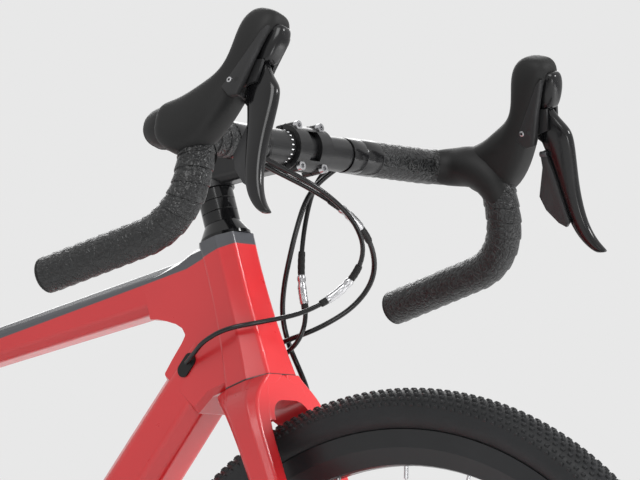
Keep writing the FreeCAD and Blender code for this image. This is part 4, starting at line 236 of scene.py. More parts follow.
class Finish:
    def __init__(self, name, colour, rough, metal=0.0, **sockets):
        self.mat = bpy.data.materials.new(name)
        self.mat.use_nodes = True
        self.tree = self.mat.node_tree
        self.shader = self.tree.nodes["Principled BSDF"]
        self.coords = self.tree.nodes.new("ShaderNodeTexCoord").outputs["Object"]
        self.use(Base_Color=colour, Roughness=rough, Metallic=metal, **sockets)

    def set(self, node, socket, value):
        if isinstance(value, bpy.types.NodeSocket):
            self.tree.links.new(value, node.inputs[socket])
        else:
            node.inputs[socket].default_value = value

    def use(self, **sockets):
        for key, value in sockets.items():
            self.set(self.shader, key.replace("_", " "), value)
        return self.mat

    # inputs by their order, then by their names
    def node(self, kind, *inputs, **sockets):
        made = self.tree.nodes.new(kind)
        for key, value in [*enumerate(inputs), *sockets.items()]:
            self.set(made, key, value)
        return made

    def math(self, operation, a, b, clamp=False):
        made = self.node("ShaderNodeMath", a, b)
        made.operation = operation
        made.use_clamp = clamp
        return made.outputs[0]

    def vector(self, operation, a, b, out="Vector"):
        made = self.node("ShaderNodeVectorMath", a, b)
        made.operation = operation
        return made.outputs[out]

    # how far a point lies along a direction, past an offset
    def past(self, direction, offset):
        along = self.vector("DOT_PRODUCT", self.coords, direction, "Value")
        return self.math("SUBTRACT", along, offset)

    def noise(self, scale, detail=3.0, rough=0.5, coords=None, out="Fac"):
        made = self.node("ShaderNodeTexNoise", Vector=coords or self.coords, Scale=scale,
                         Detail=detail, Roughness=rough)
        return made.outputs[out]

    def cells(self, scale, coords=None, feature="F1"):
        made = self.node("ShaderNodeTexVoronoi", Vector=coords or self.coords, Scale=scale)
        made.feature = feature
        return made.outputs["Distance"]

    def span(self, value, given, wanted):
        return self.node("ShaderNodeMapRange", value, *given, *wanted).outputs["Result"]

    # 6 and 7 are the node's two colours, output 2 is their mix
    def mix(self, fac, a, b):
        made = self.tree.nodes.new("ShaderNodeMix")
        made.data_type = "RGBA"
        for socket, value in ((0, fac), (6, a), (7, b)):
            self.set(made, socket, value)
        return made.outputs[2]

    def bump(self, height, distance, strength):
        made = self.node("ShaderNodeBump", Height=height, Distance=distance, Strength=strength)
        return made.outputs["Normal"]


# satin red paint with a fine orange peel; the front frame also has a grey stripe, a collar and a painted
# shadow line
frameTrim = {
    "red": srgb(184, 33, 37), "redDeep": srgb(172, 28, 33), "grey": srgb(62, 63, 67), "soft": 0.0004,
    # each edge of colour: the direction across it and how far along that it lies; soft is half its blur
    "stripe": ((-0.2237, 0.0, 0.9747), 0.7385), "collar": ((-0.3899, 0.0, 0.9249), 0.6518),
    "ahead": ((0.9515, 0.0, 0.3077), 0.515),
    # a painted shadow line where the head tube meets the fork crown: dark colour standing for the shade in
    # the gap between them
    "paintedShadow": ((0.3077, 0.0, -0.9515), -0.5729), "shade": srgb(30, 13, 14),
}


def paint(name, striped):
    made = Finish(name, frameTrim["red"], rough=0.34, Coat_Weight=0.35, Coat_Roughness=0.18)
    colour = made.mix(made.noise(scale=9.0, detail=2.0), frameTrim["redDeep"], frameTrim["red"])
    if striped:
        edge = (-frameTrim["soft"], frameTrim["soft"])
        stripe, collar, ahead, paintedShadow = (made.span(made.past(*frameTrim[key]), edge, (0.0, 1.0))
                                       for key in ("stripe", "collar", "ahead", "paintedShadow"))
        behind = made.math("SUBTRACT", 1.0, ahead)
        mask = made.math("ADD", made.math("MULTIPLY", collar, ahead),
                         made.math("MULTIPLY", stripe, behind), clamp=True)
        colour = made.mix(mask, colour, frameTrim["grey"])
        # painted shade: the foot of the head tube is painted near black, as the shadow of the gap above the
        # fork crown
        colour = made.mix(made.math("MULTIPLY", paintedShadow, ahead), colour, frameTrim["shade"])
    peel = made.bump(made.noise(scale=900.0, detail=1.0), distance=0.00004, strength=0.35)
    scuff = made.span(made.noise(scale=60.0, detail=5.0, rough=0.65), (0.3, 0.75), (0.27, 0.4))
    return made.use(Base_Color=colour, Normal=peel, Roughness=scuff)


# coated black metal: tone, roughness and added depth of its grain
blackMetals = {
    "satinBlack": (16, 0.34), "glossBlack": (9, 0.1), "blastedBlack": (20, 0.46, 0.00002),
    "leverGloss": (10, 0.14), "hoseGloss": (10, 0.16), "bandGloss": (14, 0.2), "noseBlack": (10, 0.2),
    "cheekBlack": (24, 0.6), "paddleGrey": (34, 0.42),
}


def blackMetal(name, tone, rough, grain=0.0):
    made = Finish(name, grey(tone, 1), rough, Coat_Weight=0.1, Coat_Roughness=0.12, Specular_IOR_Level=0.35)
    blotch = made.noise(scale=30.0, detail=4.0, rough=0.6)
    fine = made.noise(scale=2600.0, detail=2.0)
    return made.use(Base_Color=made.mix(blotch, grey(max(tone - 5, 3), 1), grey(tone + 7, 1)),
                    Normal=made.bump(fine, distance=0.00002 + grain, strength=0.5),
                    Roughness=made.span(blotch, (0.2, 0.8), (rough - 0.06, rough + 0.08)))


# brushed bright metal: tone, roughness and how the brushing is squeezed along X, Y and Z
steels = {
    "brightSteel": (196, 0.24, (1, 1, 1)), "rotorSteel": (176, 0.32, (1, 8, 1)),
    "sprocketSteel": (168, 0.3, (1, 6, 1)), "greyAlloy": (96, 0.38, (3, 1, 1)),
    "chainSteel": (138, 0.34, (1, 1, 1)),
}


def steel(name, tone, rough, squeeze):
    made = Finish(name, grey(tone, 2), rough, metal=1.0)
    place = made.node("ShaderNodeMapping", Vector=made.coords, Scale=squeeze).outputs["Vector"]
    brushed = made.noise(scale=220.0, detail=4.0, rough=0.6, coords=place)
    return made.use(Base_Color=made.mix(brushed, grey(tone - 26, 2), grey(tone + 10, 2)),
                    Roughness=made.span(brushed, (0.25, 0.75), (rough - 0.07, rough + 0.12)),
                    Normal=made.bump(brushed, distance=0.00002, strength=0.4))


# moulded rubber and plastic: tone, roughness, and fineness and depth of the pebble
rubbers = {
    "hoodRubber": (14, 0.52, 1300.0, 0.00007), "plugRubber": (12, 0.5, 900.0, 0.00004),
    "plasticBlack": (18, 0.44, 1800.0, 0.00003), "padBlack": (26, 0.7, 700.0, 0.0001),
    "saddleSkin": (18, 0.48, 800.0, 0.00012),
}


def rubber(name, tone, rough, scale, depth):
    made = Finish(name, grey(tone), rough, Specular_IOR_Level=0.3)
    cloud = made.noise(scale=40.0, detail=4.0, rough=0.6)
    return made.use(Base_Color=made.mix(cloud, grey(tone - 7), grey(tone + 8)),
                    Normal=made.bump(made.cells(scale), distance=depth, strength=0.5),
                    Roughness=made.span(cloud, (0.2, 0.8), (rough - 0.06, rough + 0.1)))


# dark satin rim with a fine grain
def rimFinish(name):
    made = Finish(name, srgb(20, 21, 22), rough=0.3, Coat_Weight=0.12, Coat_Roughness=0.16,
                  Specular_IOR_Level=0.3)
    cloud = made.noise(scale=14.0, detail=4.0, rough=0.6)
    return made.use(Base_Color=made.mix(cloud, srgb(14, 15, 16), srgb(27, 28, 30)),
                    Roughness=made.span(cloud, (0.2, 0.8), (0.24, 0.38)),
                    Normal=made.bump(made.noise(scale=1500.0, detail=2.0), distance=0.00003, strength=0.4))


finish = {"redPaintStriped": paint("redPaintStriped", True), "redPaint": paint("redPaint", False),
          "rimBlack": rimFinish("rimBlack")}
for make, facts in ((blackMetal, blackMetals), (steel, steels), (rubber, rubbers)):
    finish.update({name: make(name, *values) for name, values in facts.items()})

# finishes of the nodes that keep their own shape
wornBy = {
    "redPaintStriped": ["front_frame"],
    "redPaint": ["fork", "rear_triangle"],
    "satinBlack": ["stem", "stem_faceplate", "handlebar", "seatpost", "saddle_clamp", "seat_clamp",
                   "crank_left", "crank_right", "front_hub", "rear_hub", "front_axle", "rear_axle"],
    "glossBlack": ["headset_spacers"],
    "blastedBlack": ["front_caliper", "rear_caliper", "frame_bearings", "front_mech_base", "rear_mech_base",
                     "rear_mech_links", "rear_mech_knuckle", "lever_bodies"],
    "brightSteel": ["stem_hardware", "front_spokes", "rear_spokes", "saddle_rails"],
    "rotorSteel": ["front_rotor", "rear_rotor"],
    "sprocketSteel": ["cassette"],
    "greyAlloy": ["chainrings", "front_mech_cage", "rear_mech_cage"],
    "rimBlack": ["front_rim", "rear_rim"],
    "plugRubber": ["cable_ports"],
    "plasticBlack": ["pedal_left", "pedal_right", "guide_pulley", "tension_pulley"],
    "padBlack": ["front_pad_left", "front_pad_right", "rear_pad_left", "rear_pad_right"],
}


def wear(obj, look):
    obj.data.materials.append(finish[look])


for look, wearers in wornBy.items():
    for name in wearers:
        nodes[name].data.materials.clear()
        wear(nodes[name], look)
print("finishes done")

cameraSpot = {
    "place": (2.9158, -3.0080, 0.5004), "turn": 39.728, "rise": -4.990, "roll": 0.368,
    "lens": 245.47, "sensor": 36, "farEnd": 100,
}


def addCamera():
    turn, rise, roll = (math.radians(cameraSpot[key]) for key in ("turn", "rise", "roll"))
    look = -Vector((math.cos(rise) * math.sin(turn), -math.cos(rise) * math.cos(turn), math.sin(rise)))
    right = Vector((math.cos(turn), math.sin(turn), 0))
    up = right.cross(look)
    rightRolled = right * math.cos(roll) + up * math.sin(roll)
    upRolled = up * math.cos(roll) - right * math.sin(roll)
    clearSelection()
    bpy.ops.object.camera_add(location=cameraSpot["place"])
    cam = bpy.context.object
    cam.rotation_euler = Matrix((rightRolled, upRolled, -look)).transposed().to_euler()
    cam.data.sensor_width = cameraSpot["sensor"]
    cam.data.lens = cameraSpot["lens"]
    cam.data.clip_end = cameraSpot["farEnd"]
    bpy.context.scene.camera = cam


studio = {
    "sky": srgb(232, 232, 232), "floor": srgb(226, 226, 226), "floorSize": 24, "aim": Vector((0.3, 0, 0.7)),
    # name, place, size and power
    "lamps": [("keyLamp", (1.2, -2.6, 3.4), 2.0, 58), ("frontLamp", (3.4, 1.5, 1.3), 1.6, 185),
              ("backLamp", (-2.2, 2.4, 3.0), 2.6, 60), ("lowLamp", (2.6, -2.4, 0.3), 0.8, 12),
              ("glintLamp", (3.0, 1.2, 2.6), 0.6, 30)],
    # the front lamp lights the paint and is not mirrored, the glint lamp is only mirrored
    "matteLamp": "frontLamp", "mirrorLamp": "glintLamp",
}


def addStudio():
    world = bpy.data.worlds.new("studioSky")
    world.use_nodes = True
    world.node_tree.nodes["Background"].inputs["Color"].default_value = studio["sky"]
    bpy.context.scene.world = world
    for name, place, size, power in studio["lamps"]:
        clearSelection()
        bpy.ops.object.light_add(type="AREA", location=place)
        lamp = named(name)
        lamp.data.size = size
        lamp.data.energy = power
        lamp.visible_glossy = name != studio["matteLamp"]
        lamp.visible_diffuse = name != studio["mirrorLamp"]
        lamp.rotation_euler = (studio["aim"] - Vector(place)).to_track_quat("-Z", "Y").to_euler()
    clearSelection()
    bpy.ops.mesh.primitive_plane_add(size=studio["floorSize"])
    floor = named("studioFloor")
    made = Finish("paleFloor", studio["floor"], rough=0.7)
    dimples = made.bump(made.noise(scale=120.0), distance=0.0004, strength=0.15)
    floor.data.materials.append(made.use(Normal=dimples))
    bpy.context.scene.view_settings.view_transform = "Standard"


addCamera()
addStudio()
print("studio done")

# cables: each one follows the points of its route, in millimetres
cables = {
    "rearBrakeHose": {"node": "rear_brake_hose", "radius": 2.5, "bends": True, "route": [
        (395, -64.4, 909), (405, -42, 899), (420, -12, 885), (430, 24, 867), (426, 62, 844), (413, 84, 815),
        (395, 78, 788), (370, 58, 768), (342, 45, 757), (315, 38, 747), (298, 33.5, 740),
        (284.5, 30.2, 734.3)]},
    "rearShiftHousing": {"node": "rear_shift_housing", "radius": 2.25, "bends": True, "route": [
        (400.9, -64.4, 912.8), (414, -42, 901), (431, -12, 884), (440, 20, 860), (434, 44, 832),
        (416, 40, 802), (392, 12, 778), (366, -20, 769), (338, -39, 763), (313, -41, 752), (297, -35, 742),
        (283.5, -30, 734)]},
    "frontShiftHousing": {"node": "front_shift_housing", "radius": 2.25, "bends": True, "route": [
        (377.4, 63.5, 920.8), (364, 60.5, 907), (357, 57, 888), (353, 53, 860), (351, 51, 830),
        (354, 49, 802), (362, 47, 778), (357, 43, 755), (337, 40, 740), (312, 37, 729), (297, 33.5, 721.5),
        (284, 30, 713.5)]},
    "frontBrakeHose": {"node": "front_brake_hose", "radius": 2.5, "body": "steering", "route": [
        (382.4, 63.4, 913.8), (368, 55, 902), (359, 47, 884), (352, 43, 858), (344, 43, 832), (333, 48, 806),
        (326, 54, 780), (329, 60, 754), (342, 61, 730), (355, 56.5, 712), (364.1, 50.1, 698.9)]},
    "rearBrakeTail": {"node": "rear_brake_hose", "radius": 2.5, "body": "frame", "route": [
        (-373, 58, 343.9), (-388, 60, 358), (-406, 62, 367), (-426.6, 62, 369.5)]},
    "rearShiftTail": {"node": "rear_shift_housing", "radius": 2.25, "body": "frame", "route": [
        (-456, -79.8, 343), (-482, -88, 356), (-514, -92, 365), (-546, -95, 362), (-569, -95, 346),
        (-574, -94, 325), (-563, -92, 310), (-538.3, -89.2, 309.9)]},
}
cableCurve = {"order": 3, "alongSteps": 6, "roundSteps": 3}


def routeCurve(name, points):
    obj = lineCurve(name, "NURBS", points)
    obj.data.resolution_u = cableCurve["alongSteps"]
    spline = obj.data.splines[0]
    spline.order_u = cableCurve["order"]
    spline.use_endpoint_u = True
    return obj


def toMesh(obj):
    pick(obj)
    bpy.ops.object.convert(target="MESH")
    return bpy.context.object


def lineOf(points):
    bare = toMesh(routeCurve("bareLine", points))
    line = [vert.co.copy() for vert in bare.data.vertices]
    bpy.data.objects.remove(bare)
    return line


def addCable(name, facts):
    points = [Vector(point) * mm for point in facts["route"]]
    line = lineOf(points)
    tube = routeCurve(name, points)
    tube.data.bevel_depth = facts["radius"] * mm
    tube.data.bevel_resolution = cableCurve["roundSteps"]
    tube.data.use_fill_caps = True
    tube = toMesh(tube)
    wear(tube, "hoseGloss")
    smooth(tube, angle=60)
    if facts.get("bends"):
        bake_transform(tube)
    else:
        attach(tube, facts["body"])
    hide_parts(facts["node"])
    return line


cableLines = {name: addCable(name, facts) for name, facts in cables.items()}

# inline joints: sleeves and boots, from and to along their cable in metres
fittings = {
    "rearHoseJoint": {"on": "rearBrakeHose", "metal": [(0.093, 0.126)],
                      "boots": [(0.080, 0.094), (0.125, 0.146)]},
    "rearShiftAdjuster": {"on": "rearShiftHousing", "metal": [(0.170, 0.199)],
                          "boots": [(0.155, 0.171), (0.198, 0.206)]},
    "frontShiftAdjuster": {"on": "frontShiftHousing", "metal": [(0.112, 0.140)],
                           "boots": [(0.090, 0.113), (0.139, 0.147)]},
}
# finish, and radii in millimetres at even steps
fittingKinds = {
    "metal": ("brightSteel", (3.2, 4.1, 4.1, 3.5, 3.5, 4.15, 4.15, 3.9, 4.15, 3.9, 4.15, 3.9, 4.15, 3.4)),
    "boots": ("plugRubber", (3.0, 3.4, 3.3, 3.5, 3.3, 3.5, 3.3, 3.4, 2.9)),
}


def addFittings():
    parts = []
    for name, facts in fittings.items():
        for kind, (look, radii) in fittingKinds.items():
            for start, end in facts[kind]:
                spots = stretch(cableLines[facts["on"]], start, end, len(radii))
                piece = ringLoft(name, [ringAt(p, d, r * mm) for (p, d), r in zip(spots, radii)])
                wear(piece, look)
                parts.append(piece)
    whole = join(parts, "cableJoints")
    smooth(whole, angle=50)
    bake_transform(whole)
    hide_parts("cable_fittings")


addFittings()
print("cables done")

# the bar's middle line, which tape and hoods follow
bar = {
    "centre": Vector((391.94, 0, 925.30)) * mm, "straight": 176 * mm, "corner": 30 * mm, "dropOut": 206 * mm,
    "flare": math.radians(16), "hook": 34 * mm, "drop": 14 * mm, "lower": 56 * mm,
    "lowerTurn": math.radians(76.4), "tail": 107 * mm, "bendSteps": 16, "lowerSteps": 24,
}


def dropPoint(ahead, down):
    out = bar["dropOut"] + down * math.sin(bar["flare"])
    return bar["centre"] + Vector((ahead, -out, -down * math.cos(bar["flare"])))


# the right half of the line
def barLine(start):
    straight, corner, hook, lower = (bar[key] for key in ("straight", "corner", "hook", "lower"))
    line = [bar["centre"] - Vector((0, place, 0)) for place in (start, straight)]
    for turn in arcSteps(math.pi, math.pi / 2, bar["bendSteps"]):
        bend = Vector((corner * (1 + math.cos(turn)), -straight - corner * math.sin(turn), 0))
        line.append(bar["centre"] + bend)
    for turn in arcSteps(math.pi / 2, 0, bar["bendSteps"]):
        line.append(dropPoint(corner + hook * math.cos(turn), hook * (1 - math.sin(turn))))
    front = corner + hook
    low = hook + bar["drop"]
    line.append(dropPoint(front, low))
    for turn in arcSteps(0, -bar["lowerTurn"], bar["lowerSteps"]):
        line.append(dropPoint(front - lower * (1 - math.cos(turn)), low - lower * math.sin(turn)))
    line.append(line[-1] + (line[-1] - line[-2]).normalized() * bar["tail"])
    return line


# small white scale marks printed beside the clamp
barMarks = {
    "at": -28.5 * mm, "radius": 15.93 * mm, "count": 9, "from": math.radians(-62), "to": math.radians(70),
    "long": 2.6 * mm, "wide": 1.0 * mm, "thick": 0.2 * mm, "edge": 0.05 * mm,
}


def addMarks():
    made = Finish("printWhite", srgb(205, 206, 207), rough=0.5)
    made.use(Roughness=made.span(made.noise(scale=900.0), (0.3, 0.7), (0.4, 0.6)))
    marks = []
    for turn in [barMarks["from"]] + arcSteps(barMarks["from"], barMarks["to"], barMarks["count"] - 1):
        clearSelection()
        bpy.ops.mesh.primitive_cube_add(size=1)
        mark = named("barMark")
        mark.scale = (barMarks["thick"], barMarks["long"], barMarks["wide"])
        mark.rotation_euler.y = -turn
        mark.location = bar["centre"] + Vector((math.cos(turn), 0, math.sin(turn))) * barMarks["radius"]
        mark.location.y = barMarks["at"]
        applyPlace(mark)
        marks.append(mark)
    whole = join(marks, "barMarks")
    bevel(whole, barMarks["edge"], segments=1)
    whole.data.materials.append(made.mat)
    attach(whole, "steering")


# tape wound along the bar, with a smooth band at its inner end and a plug at its outer end
tape = {
    "from": 100 * mm, "pitch": 13.0 * mm, "turns": 32, "roundSteps": 36, "mergeGap": 0.02 * mm,
    # radius and place along one turn of the strip, in millimetres
    "strip": [(15.75, 0.0), (15.95, 2.0), (16.3, 6.5), (16.7, 11.2), (16.65, 12.5), (15.75, 13.0)],
    # places and radii of the band, along the bar from its middle, and of the plug, out from the tape's end
    "band": [(59.5, 15.0), (59.6, 16.1), (61, 16.35), (78, 16.5), (78.6, 16.3), (79.4, 16.6), (99, 16.9),
             (100.6, 16.7), (100.8, 15.8)],
    "plug": [(-0.5, 15.8), (0.6, 16.2), (2.6, 16.1), (3.6, 15.2), (4.0, 13.5)],
    "bandSides": 36, "plugSides": 28,
}


def tapeFinish():
    made = Finish("tapeBlack", srgb(24, 25, 26), rough=0.4, Specular_IOR_Level=0.45)
    drift = made.vector("MULTIPLY", made.noise(scale=70.0, detail=3.0, out="Color"), (0.012, 0.012, 0.012))
    wander = made.vector("ADD", made.coords, drift)
    folds = made.cells(scale=190.0, coords=wander, feature="DISTANCE_TO_EDGE")
    crease = made.span(folds, (0.0, 0.25), (0.0, 1.0))
    grain = made.noise(scale=700.0, detail=4.0, rough=0.6)
    height = made.math("ADD", crease, made.math("MULTIPLY", grain, 0.35))
    cloud = made.noise(scale=55.0, detail=3.0)
    skin = made.mix(cloud, srgb(17, 18, 18), srgb(30, 31, 32))
    # painted shade: the colour darkens to near black along the creases of the folds
    return made.use(Base_Color=made.mix(crease, srgb(10, 10, 11), skin),
                    Roughness=made.span(cloud, (0.2, 0.8), (0.26, 0.44)),
                    Normal=made.bump(height, distance=0.0008, strength=0.7))


def addTape():
    line = barLine(tape["from"])
    wrap = lineMesh("barTapeRight", [(radius * mm, 0, along * mm) for radius, along in tape["strip"]])
    bpy.ops.object.mode_set(mode="OBJECT")
    applyModifier(wrap, "SCREW", angle=fullTurn, screw_offset=tape["pitch"], iterations=tape["turns"],
                  steps=tape["roundSteps"], render_steps=tape["roundSteps"], axis="Z",
                  use_merge_vertices=False)
    bpy.ops.object.mode_set(mode="EDIT")
    bpy.ops.mesh.select_all(action="SELECT")
    bpy.ops.transform.translate(value=(0, 0, -tape["pitch"]))
    bpy.ops.mesh.remove_doubles(threshold=tape["mergeGap"])
    for height, normal in ((0.0, -1), (lineLength(line), 1)):
        bpy.ops.mesh.select_all(action="SELECT")
        bpy.ops.mesh.bisect(plane_co=(0, 0, height), plane_no=(0, 0, normal), use_fill=True, clear_outer=True)
    closeEdit()
    path = lineCurve("tapePath", "POLY", line)
    applyModifier(wrap, "CURVE", object=path, deform_axis="POS_Z")
    bpy.data.objects.remove(path)
    wrap.data.materials.append(tapeFinish())
    smooth(wrap, angle=40)
    out = (line[-1] - line[-2]).normalized()
    plug = ringLoft("barPlug", axisRings(line[-1], out, tape["plug"], tape["plugSides"]))
    wear(plug, "plugRubber")
    smooth(plug)
    sideways = Vector((0, -1, 0))
    band = ringLoft("finishBand", axisRings(bar["centre"], sideways, tape["band"], tape["bandSides"]))
    wear(band, "bandGloss")
    smooth(band, angle=30)
    bothSides(join([wrap, plug, band], "barTapeRight"), "barTape", "steering", "bar_tape")


addMarks()
addTape()
print("tape done")

# hoods, levers and paddles are modelled for the right side, in millimetres ahead along X and up along Z
# from the point where they meet the bar
grip = {
    "out": 214.6 * mm, "lean": math.radians(-16), "square": 0.72,
    # upper and lower points of each ring and its half width
    "rings": [((24, 17.5), (26, -17), 16.5), ((40, 20.5), (38, -24), 18), ((55, 25.5), (50, -30), 19),
              ((70, 34.5), (72, -28), 19), ((83, 41.5), (92, -7), 18.5), ((91, 49), (106, 20), 17),
              ((95, 60), (119, 43), 17), ((97.5, 74), (131, 60), 18.5), ((100.5, 87), (141, 77), 18.5),
              ((107, 96), (142, 89), 16), ((118, 101), (136, 96.5), 10.5)],
    # height, front, rear and half width of the dark nose under the hood's peak
    "nose": [(84, 142, 118, 6.5), (81, 148, 114, 9.5), (70, 147.5, 112, 10.5), (60, 144, 112, 10),
             (52, 140, 113, 8.5), (48, 136, 115, 7)],
    "noseSquare": 0.6,
    "cheek": [(99, 24), (109, 15.5), (118, 17), (123.5, 34), (128, 50), (137, 73), (138, 79), (131, 73),
              (111, 42)],
    "cheekFrom": 10.0, "cheekTo": 17.0, "cheekEdge": 1.6,
    # the screw, and the dark discs of painted shade that stand for its socket and for the hole, start this
    # deep in the cheek
    "sunk": 1.0, "screw": (107.5, 30), "screwSize": 2.6, "screwLong": 1.5, "screwEdge": 0.4,
    "hollowSides": 6, "hollowLong": 1.56, "hole": (115.5, 30), "holeSize": 2.1, "holeLong": 1.06,
    # the sleeve round the bar's bend: from and to along the taped line, and its radii
    "sleeve": (99, 162), "sleeveSides": 28,
    "sleeveRadii": (16.4, 17.4, 17.9, 18.4, 18.9, 19.2, 19.2, 19.0, 18.6, 18.1, 17.6, 16.6),
    # how much each end of the sleeve slants, fading over this many rings
    "sleeveSlants": (0.9, 0.95), "slantRings": 4,
}
lever = {
    # height, front, rear and half width of the blade
    "rings": [(52, 133, 119, 5.0), (45, 136, 118, 5.2), (38, 141, 116, 5.8), (30, 148.5, 114.5, 6.6),
              (22, 152, 116, 6.8), (6, 151.5, 121.5, 6.5), (-12, 150, 125.5, 6.3), (-32, 149, 129, 5.9),
              (-55, 151, 133, 5.3), (-70, 156, 139.5, 4.8), (-80, 162, 147.5, 4.6), (-86, 167.5, 155, 4.3),
              (-88.5, 169.5, 160, 3.0)],
    "square": 0.7, "ringSides": 16,
}
paddle = {
    "outline": [(118, 10), (124, 12), (126, 2), (129.5, -12), (133, -32), (135.5, -46), (138, -57),
                (134, -61.5), (126, -57), (114, -44), (109, -31), (114, -16), (118, -4)],
    "from": 4.6, "to": 8.6, "edge": 0.6,
    "barrel": (117.5, 6.6, 8), "barrelSize": 3.0, "barrelLong": 8.0, "barrelEdge": 0.5,
}


def rounded(value, power):
    return math.copysign(abs(value) ** power, value)


# a ring between two points of the upright plane, bulged sideways by the half width
def bulgedRing(upper, lower, half, power, count=20):
    high, low = (Vector((spot[0], 0, spot[1])) * mm for spot in (upper, lower))
    middle, reach, bulge = (high + low) / 2, (high - low) / 2, Vector((0, half * mm, 0))
    return [middle + reach * rounded(math.cos(t), power) + bulge * rounded(math.sin(t), power)
            for t in evenTurns(count)]


# level rings from rows of height, front, rear and half width
def levelRings(rows, power, count=20):
    return [bulgedRing((front, z), (rear, z), half, power, count) for z, front, rear, half in rows]


# a flat outline in the upright plane, thickened sideways
def sidePlate(name, outline, start, end):
    obj, bm = blankMesh(name)
    bm.faces.new([bm.verts.new((x * mm, start * mm, z * mm)) for x, z in outline]).select_set(True)
    bmesh.update_edit_mesh(obj.data)
    bpy.ops.mesh.extrude_region_move(TRANSFORM_OT_translate={"value": (0, (end - start) * mm, 0)})
    closeEdit()
    return obj


def roundBar(name, radius, start, way, length, look, sides=20):
    clearSelection()
    way = Vector(way)
    middle = (Vector(start) + way * length / 2) * mm
    turned = way.to_track_quat("Z", "Y").to_euler()
    bpy.ops.mesh.primitive_cylinder_add(vertices=sides, radius=radius * mm, depth=length * mm,
                                        location=middle, rotation=turned)
    obj = named(name)
    applyPlace(obj)
    wear(obj, look)
    return obj


def onGrip(obj):
    obj.rotation_euler.x = grip["lean"]
    obj.location = bar["centre"] - Vector((0, grip["out"], 0))
    applyPlace(obj)
    return obj


def addSleeve():
    radii = grip["sleeveRadii"]
    spots = stretch(barLine(tape["from"]), *(place * mm for place in grip["sleeve"]), len(radii))
    first, last = grip["sleeveSlants"]
    rings = []
    for k, ((p, d), r) in enumerate(zip(spots, radii)):
        fromFirst, fromLast = (max(0, 1 - steps / grip["slantRings"]) for steps in (k, len(radii) - 1 - k))
        slant = Vector((-first * fromFirst, last * fromLast, 0))
        rings.append([q + d * (q - p).dot(slant) for q in ringAt(p, d, r * mm, grip["sleeveSides"])])
    sleeve = ringLoft("hoodSleeve", rings)
    wear(sleeve, "hoodRubber")
    return sleeve


def addHoods():
    skin = ringLoft("hoodSkin", [bulgedRing(*ring, grip["square"]) for ring in grip["rings"]])
    nose = ringLoft("hoodNose", levelRings(grip["nose"], grip["noseSquare"]))
    parts = [skin, nose]
    for part, look in ((skin, "hoodRubber"), (nose, "noseBlack")):
        subdivide(part, levels=2)
        wear(part, look)
    for side in (1, -1):
        cheek = sidePlate("cheek", grip["cheek"], side * grip["cheekFrom"], side * grip["cheekTo"])
        bevel(cheek, grip["cheekEdge"] * mm, segments=3)
        wear(cheek, "cheekBlack")
        way = (0, side, 0)
        deep = side * (grip["cheekTo"] - grip["sunk"])
        screwAt, holeAt = ((grip[key][0], deep, grip[key][1]) for key in ("screw", "hole"))
        screw = roundBar("screw", grip["screwSize"], screwAt, way, grip["screwLong"], "brightSteel")
        bevel(screw, grip["screwEdge"] * mm, segments=2)
        # painted shade: a dark disc standing for the screw's socket, in place of a recess
        hollow = roundBar("screwSocketShade", grip["screwSize"] / 2, screwAt, way, grip["hollowLong"],
                          "plugRubber", grip["hollowSides"])
        # painted shade: a glossy black disc standing for the hole, in place of a recess
        hole = roundBar("hole", grip["holeSize"], holeAt, way, grip["holeLong"], "glossBlack")
        parts += [cheek, screw, hollow, hole]
    whole = join([onGrip(join(parts, "hoodRight")), addSleeve()], "hoodRight")
    smooth(whole, angle=40)
    bothSides(whole, "hood", "steering", "hoods")


def addLevers():
    blade = ringLoft("blade", levelRings(lever["rings"], lever["square"], lever["ringSides"]))
    subdivide(blade, levels=2)
    wear(blade, "leverGloss")
    smooth(blade, angle=60)
    bothSides(onGrip(blade), "leverBlade", "brake_lever_{}", "brake_lever_{}")
    inner = sidePlate("paddle", paddle["outline"], paddle["from"], paddle["to"])
    wear(inner, "paddleGrey")
    bevel(inner, paddle["edge"] * mm, segments=2)
    barrel = roundBar("barrel", paddle["barrelSize"], paddle["barrel"], (1, 0, 0), paddle["barrelLong"],
                      "greyAlloy")
    bevel(barrel, paddle["barrelEdge"] * mm, segments=2)
    whole = join([inner, barrel], "paddleRight")
    smooth(whole, angle=40)
    bothSides(onGrip(whole), "shiftPaddle", "shift_paddle_{}", "shift_paddle_{}")


addHoods()
addLevers()
print("hoods and levers done")

# tyres: a casing turned from its outline, with rows of small knobs over the crown
wheelFacts = {"front": (0.515, "front_wheel", "front_tyre"), "rear": (-0.515, "rear_wheel", "rear_tyre")}
tyre = {
    "height": 0.353, "roundSteps": 180, "mergeGap": 0.01 * mm,
    # half width and radius of the casing, in millimetres, from the rim up
    "outline": [(11.5, 309.6), (11.5, 316.2), (13.6, 317.2), (17.2, 321), (19.6, 326.5), (20.2, 332),
                (19.4, 337.4), (17.3, 342.2), (13.7, 346.4), (9.0, 349.5), (4.6, 351.0), (0.0, 351.5)],
    # side place, radius of the top, length, width, height and half steps for each row of knobs
    "knobs": [(0.0, 353.0, 5.6, 3.8, 3.4, 0), (4.6, 352.6, 5.6, 3.7, 3.4, 1), (9.2, 351.1, 5.6, 3.7, 3.4, 0),
              (13.5, 348.3, 5.6, 3.7, 3.4, 1), (17.2, 344.2, 5.6, 3.7, 3.4, 0),
              (19.4, 339.4, 5.4, 3.4, 3.0, 1)],
    # the share of its foot that a knob's top keeps, and the depth of the point that the rows fan out from
    "knobCount": 232, "knobEdge": 0.35, "knobTop": 0.6, "leanFrom": 18,
}


def tyreFinish():
    made = Finish("tyreBlack", srgb(22, 23, 24), rough=0.5, Specular_IOR_Level=0.3)
    cloud = made.noise(scale=26.0, detail=4.0, rough=0.6)
    speck = made.noise(scale=420.0, detail=3.0, rough=0.6)
    hatch = made.cells(scale=620.0)
    height = made.math("ADD", made.math("MULTIPLY", hatch, 0.6), speck)
    return made.use(Base_Color=made.mix(cloud, srgb(16, 17, 18), srgb(30, 31, 33)),
                    Roughness=made.span(speck, (0.25, 0.75), (0.38, 0.6)),
                    Normal=made.bump(height, distance=0.00012, strength=0.5))


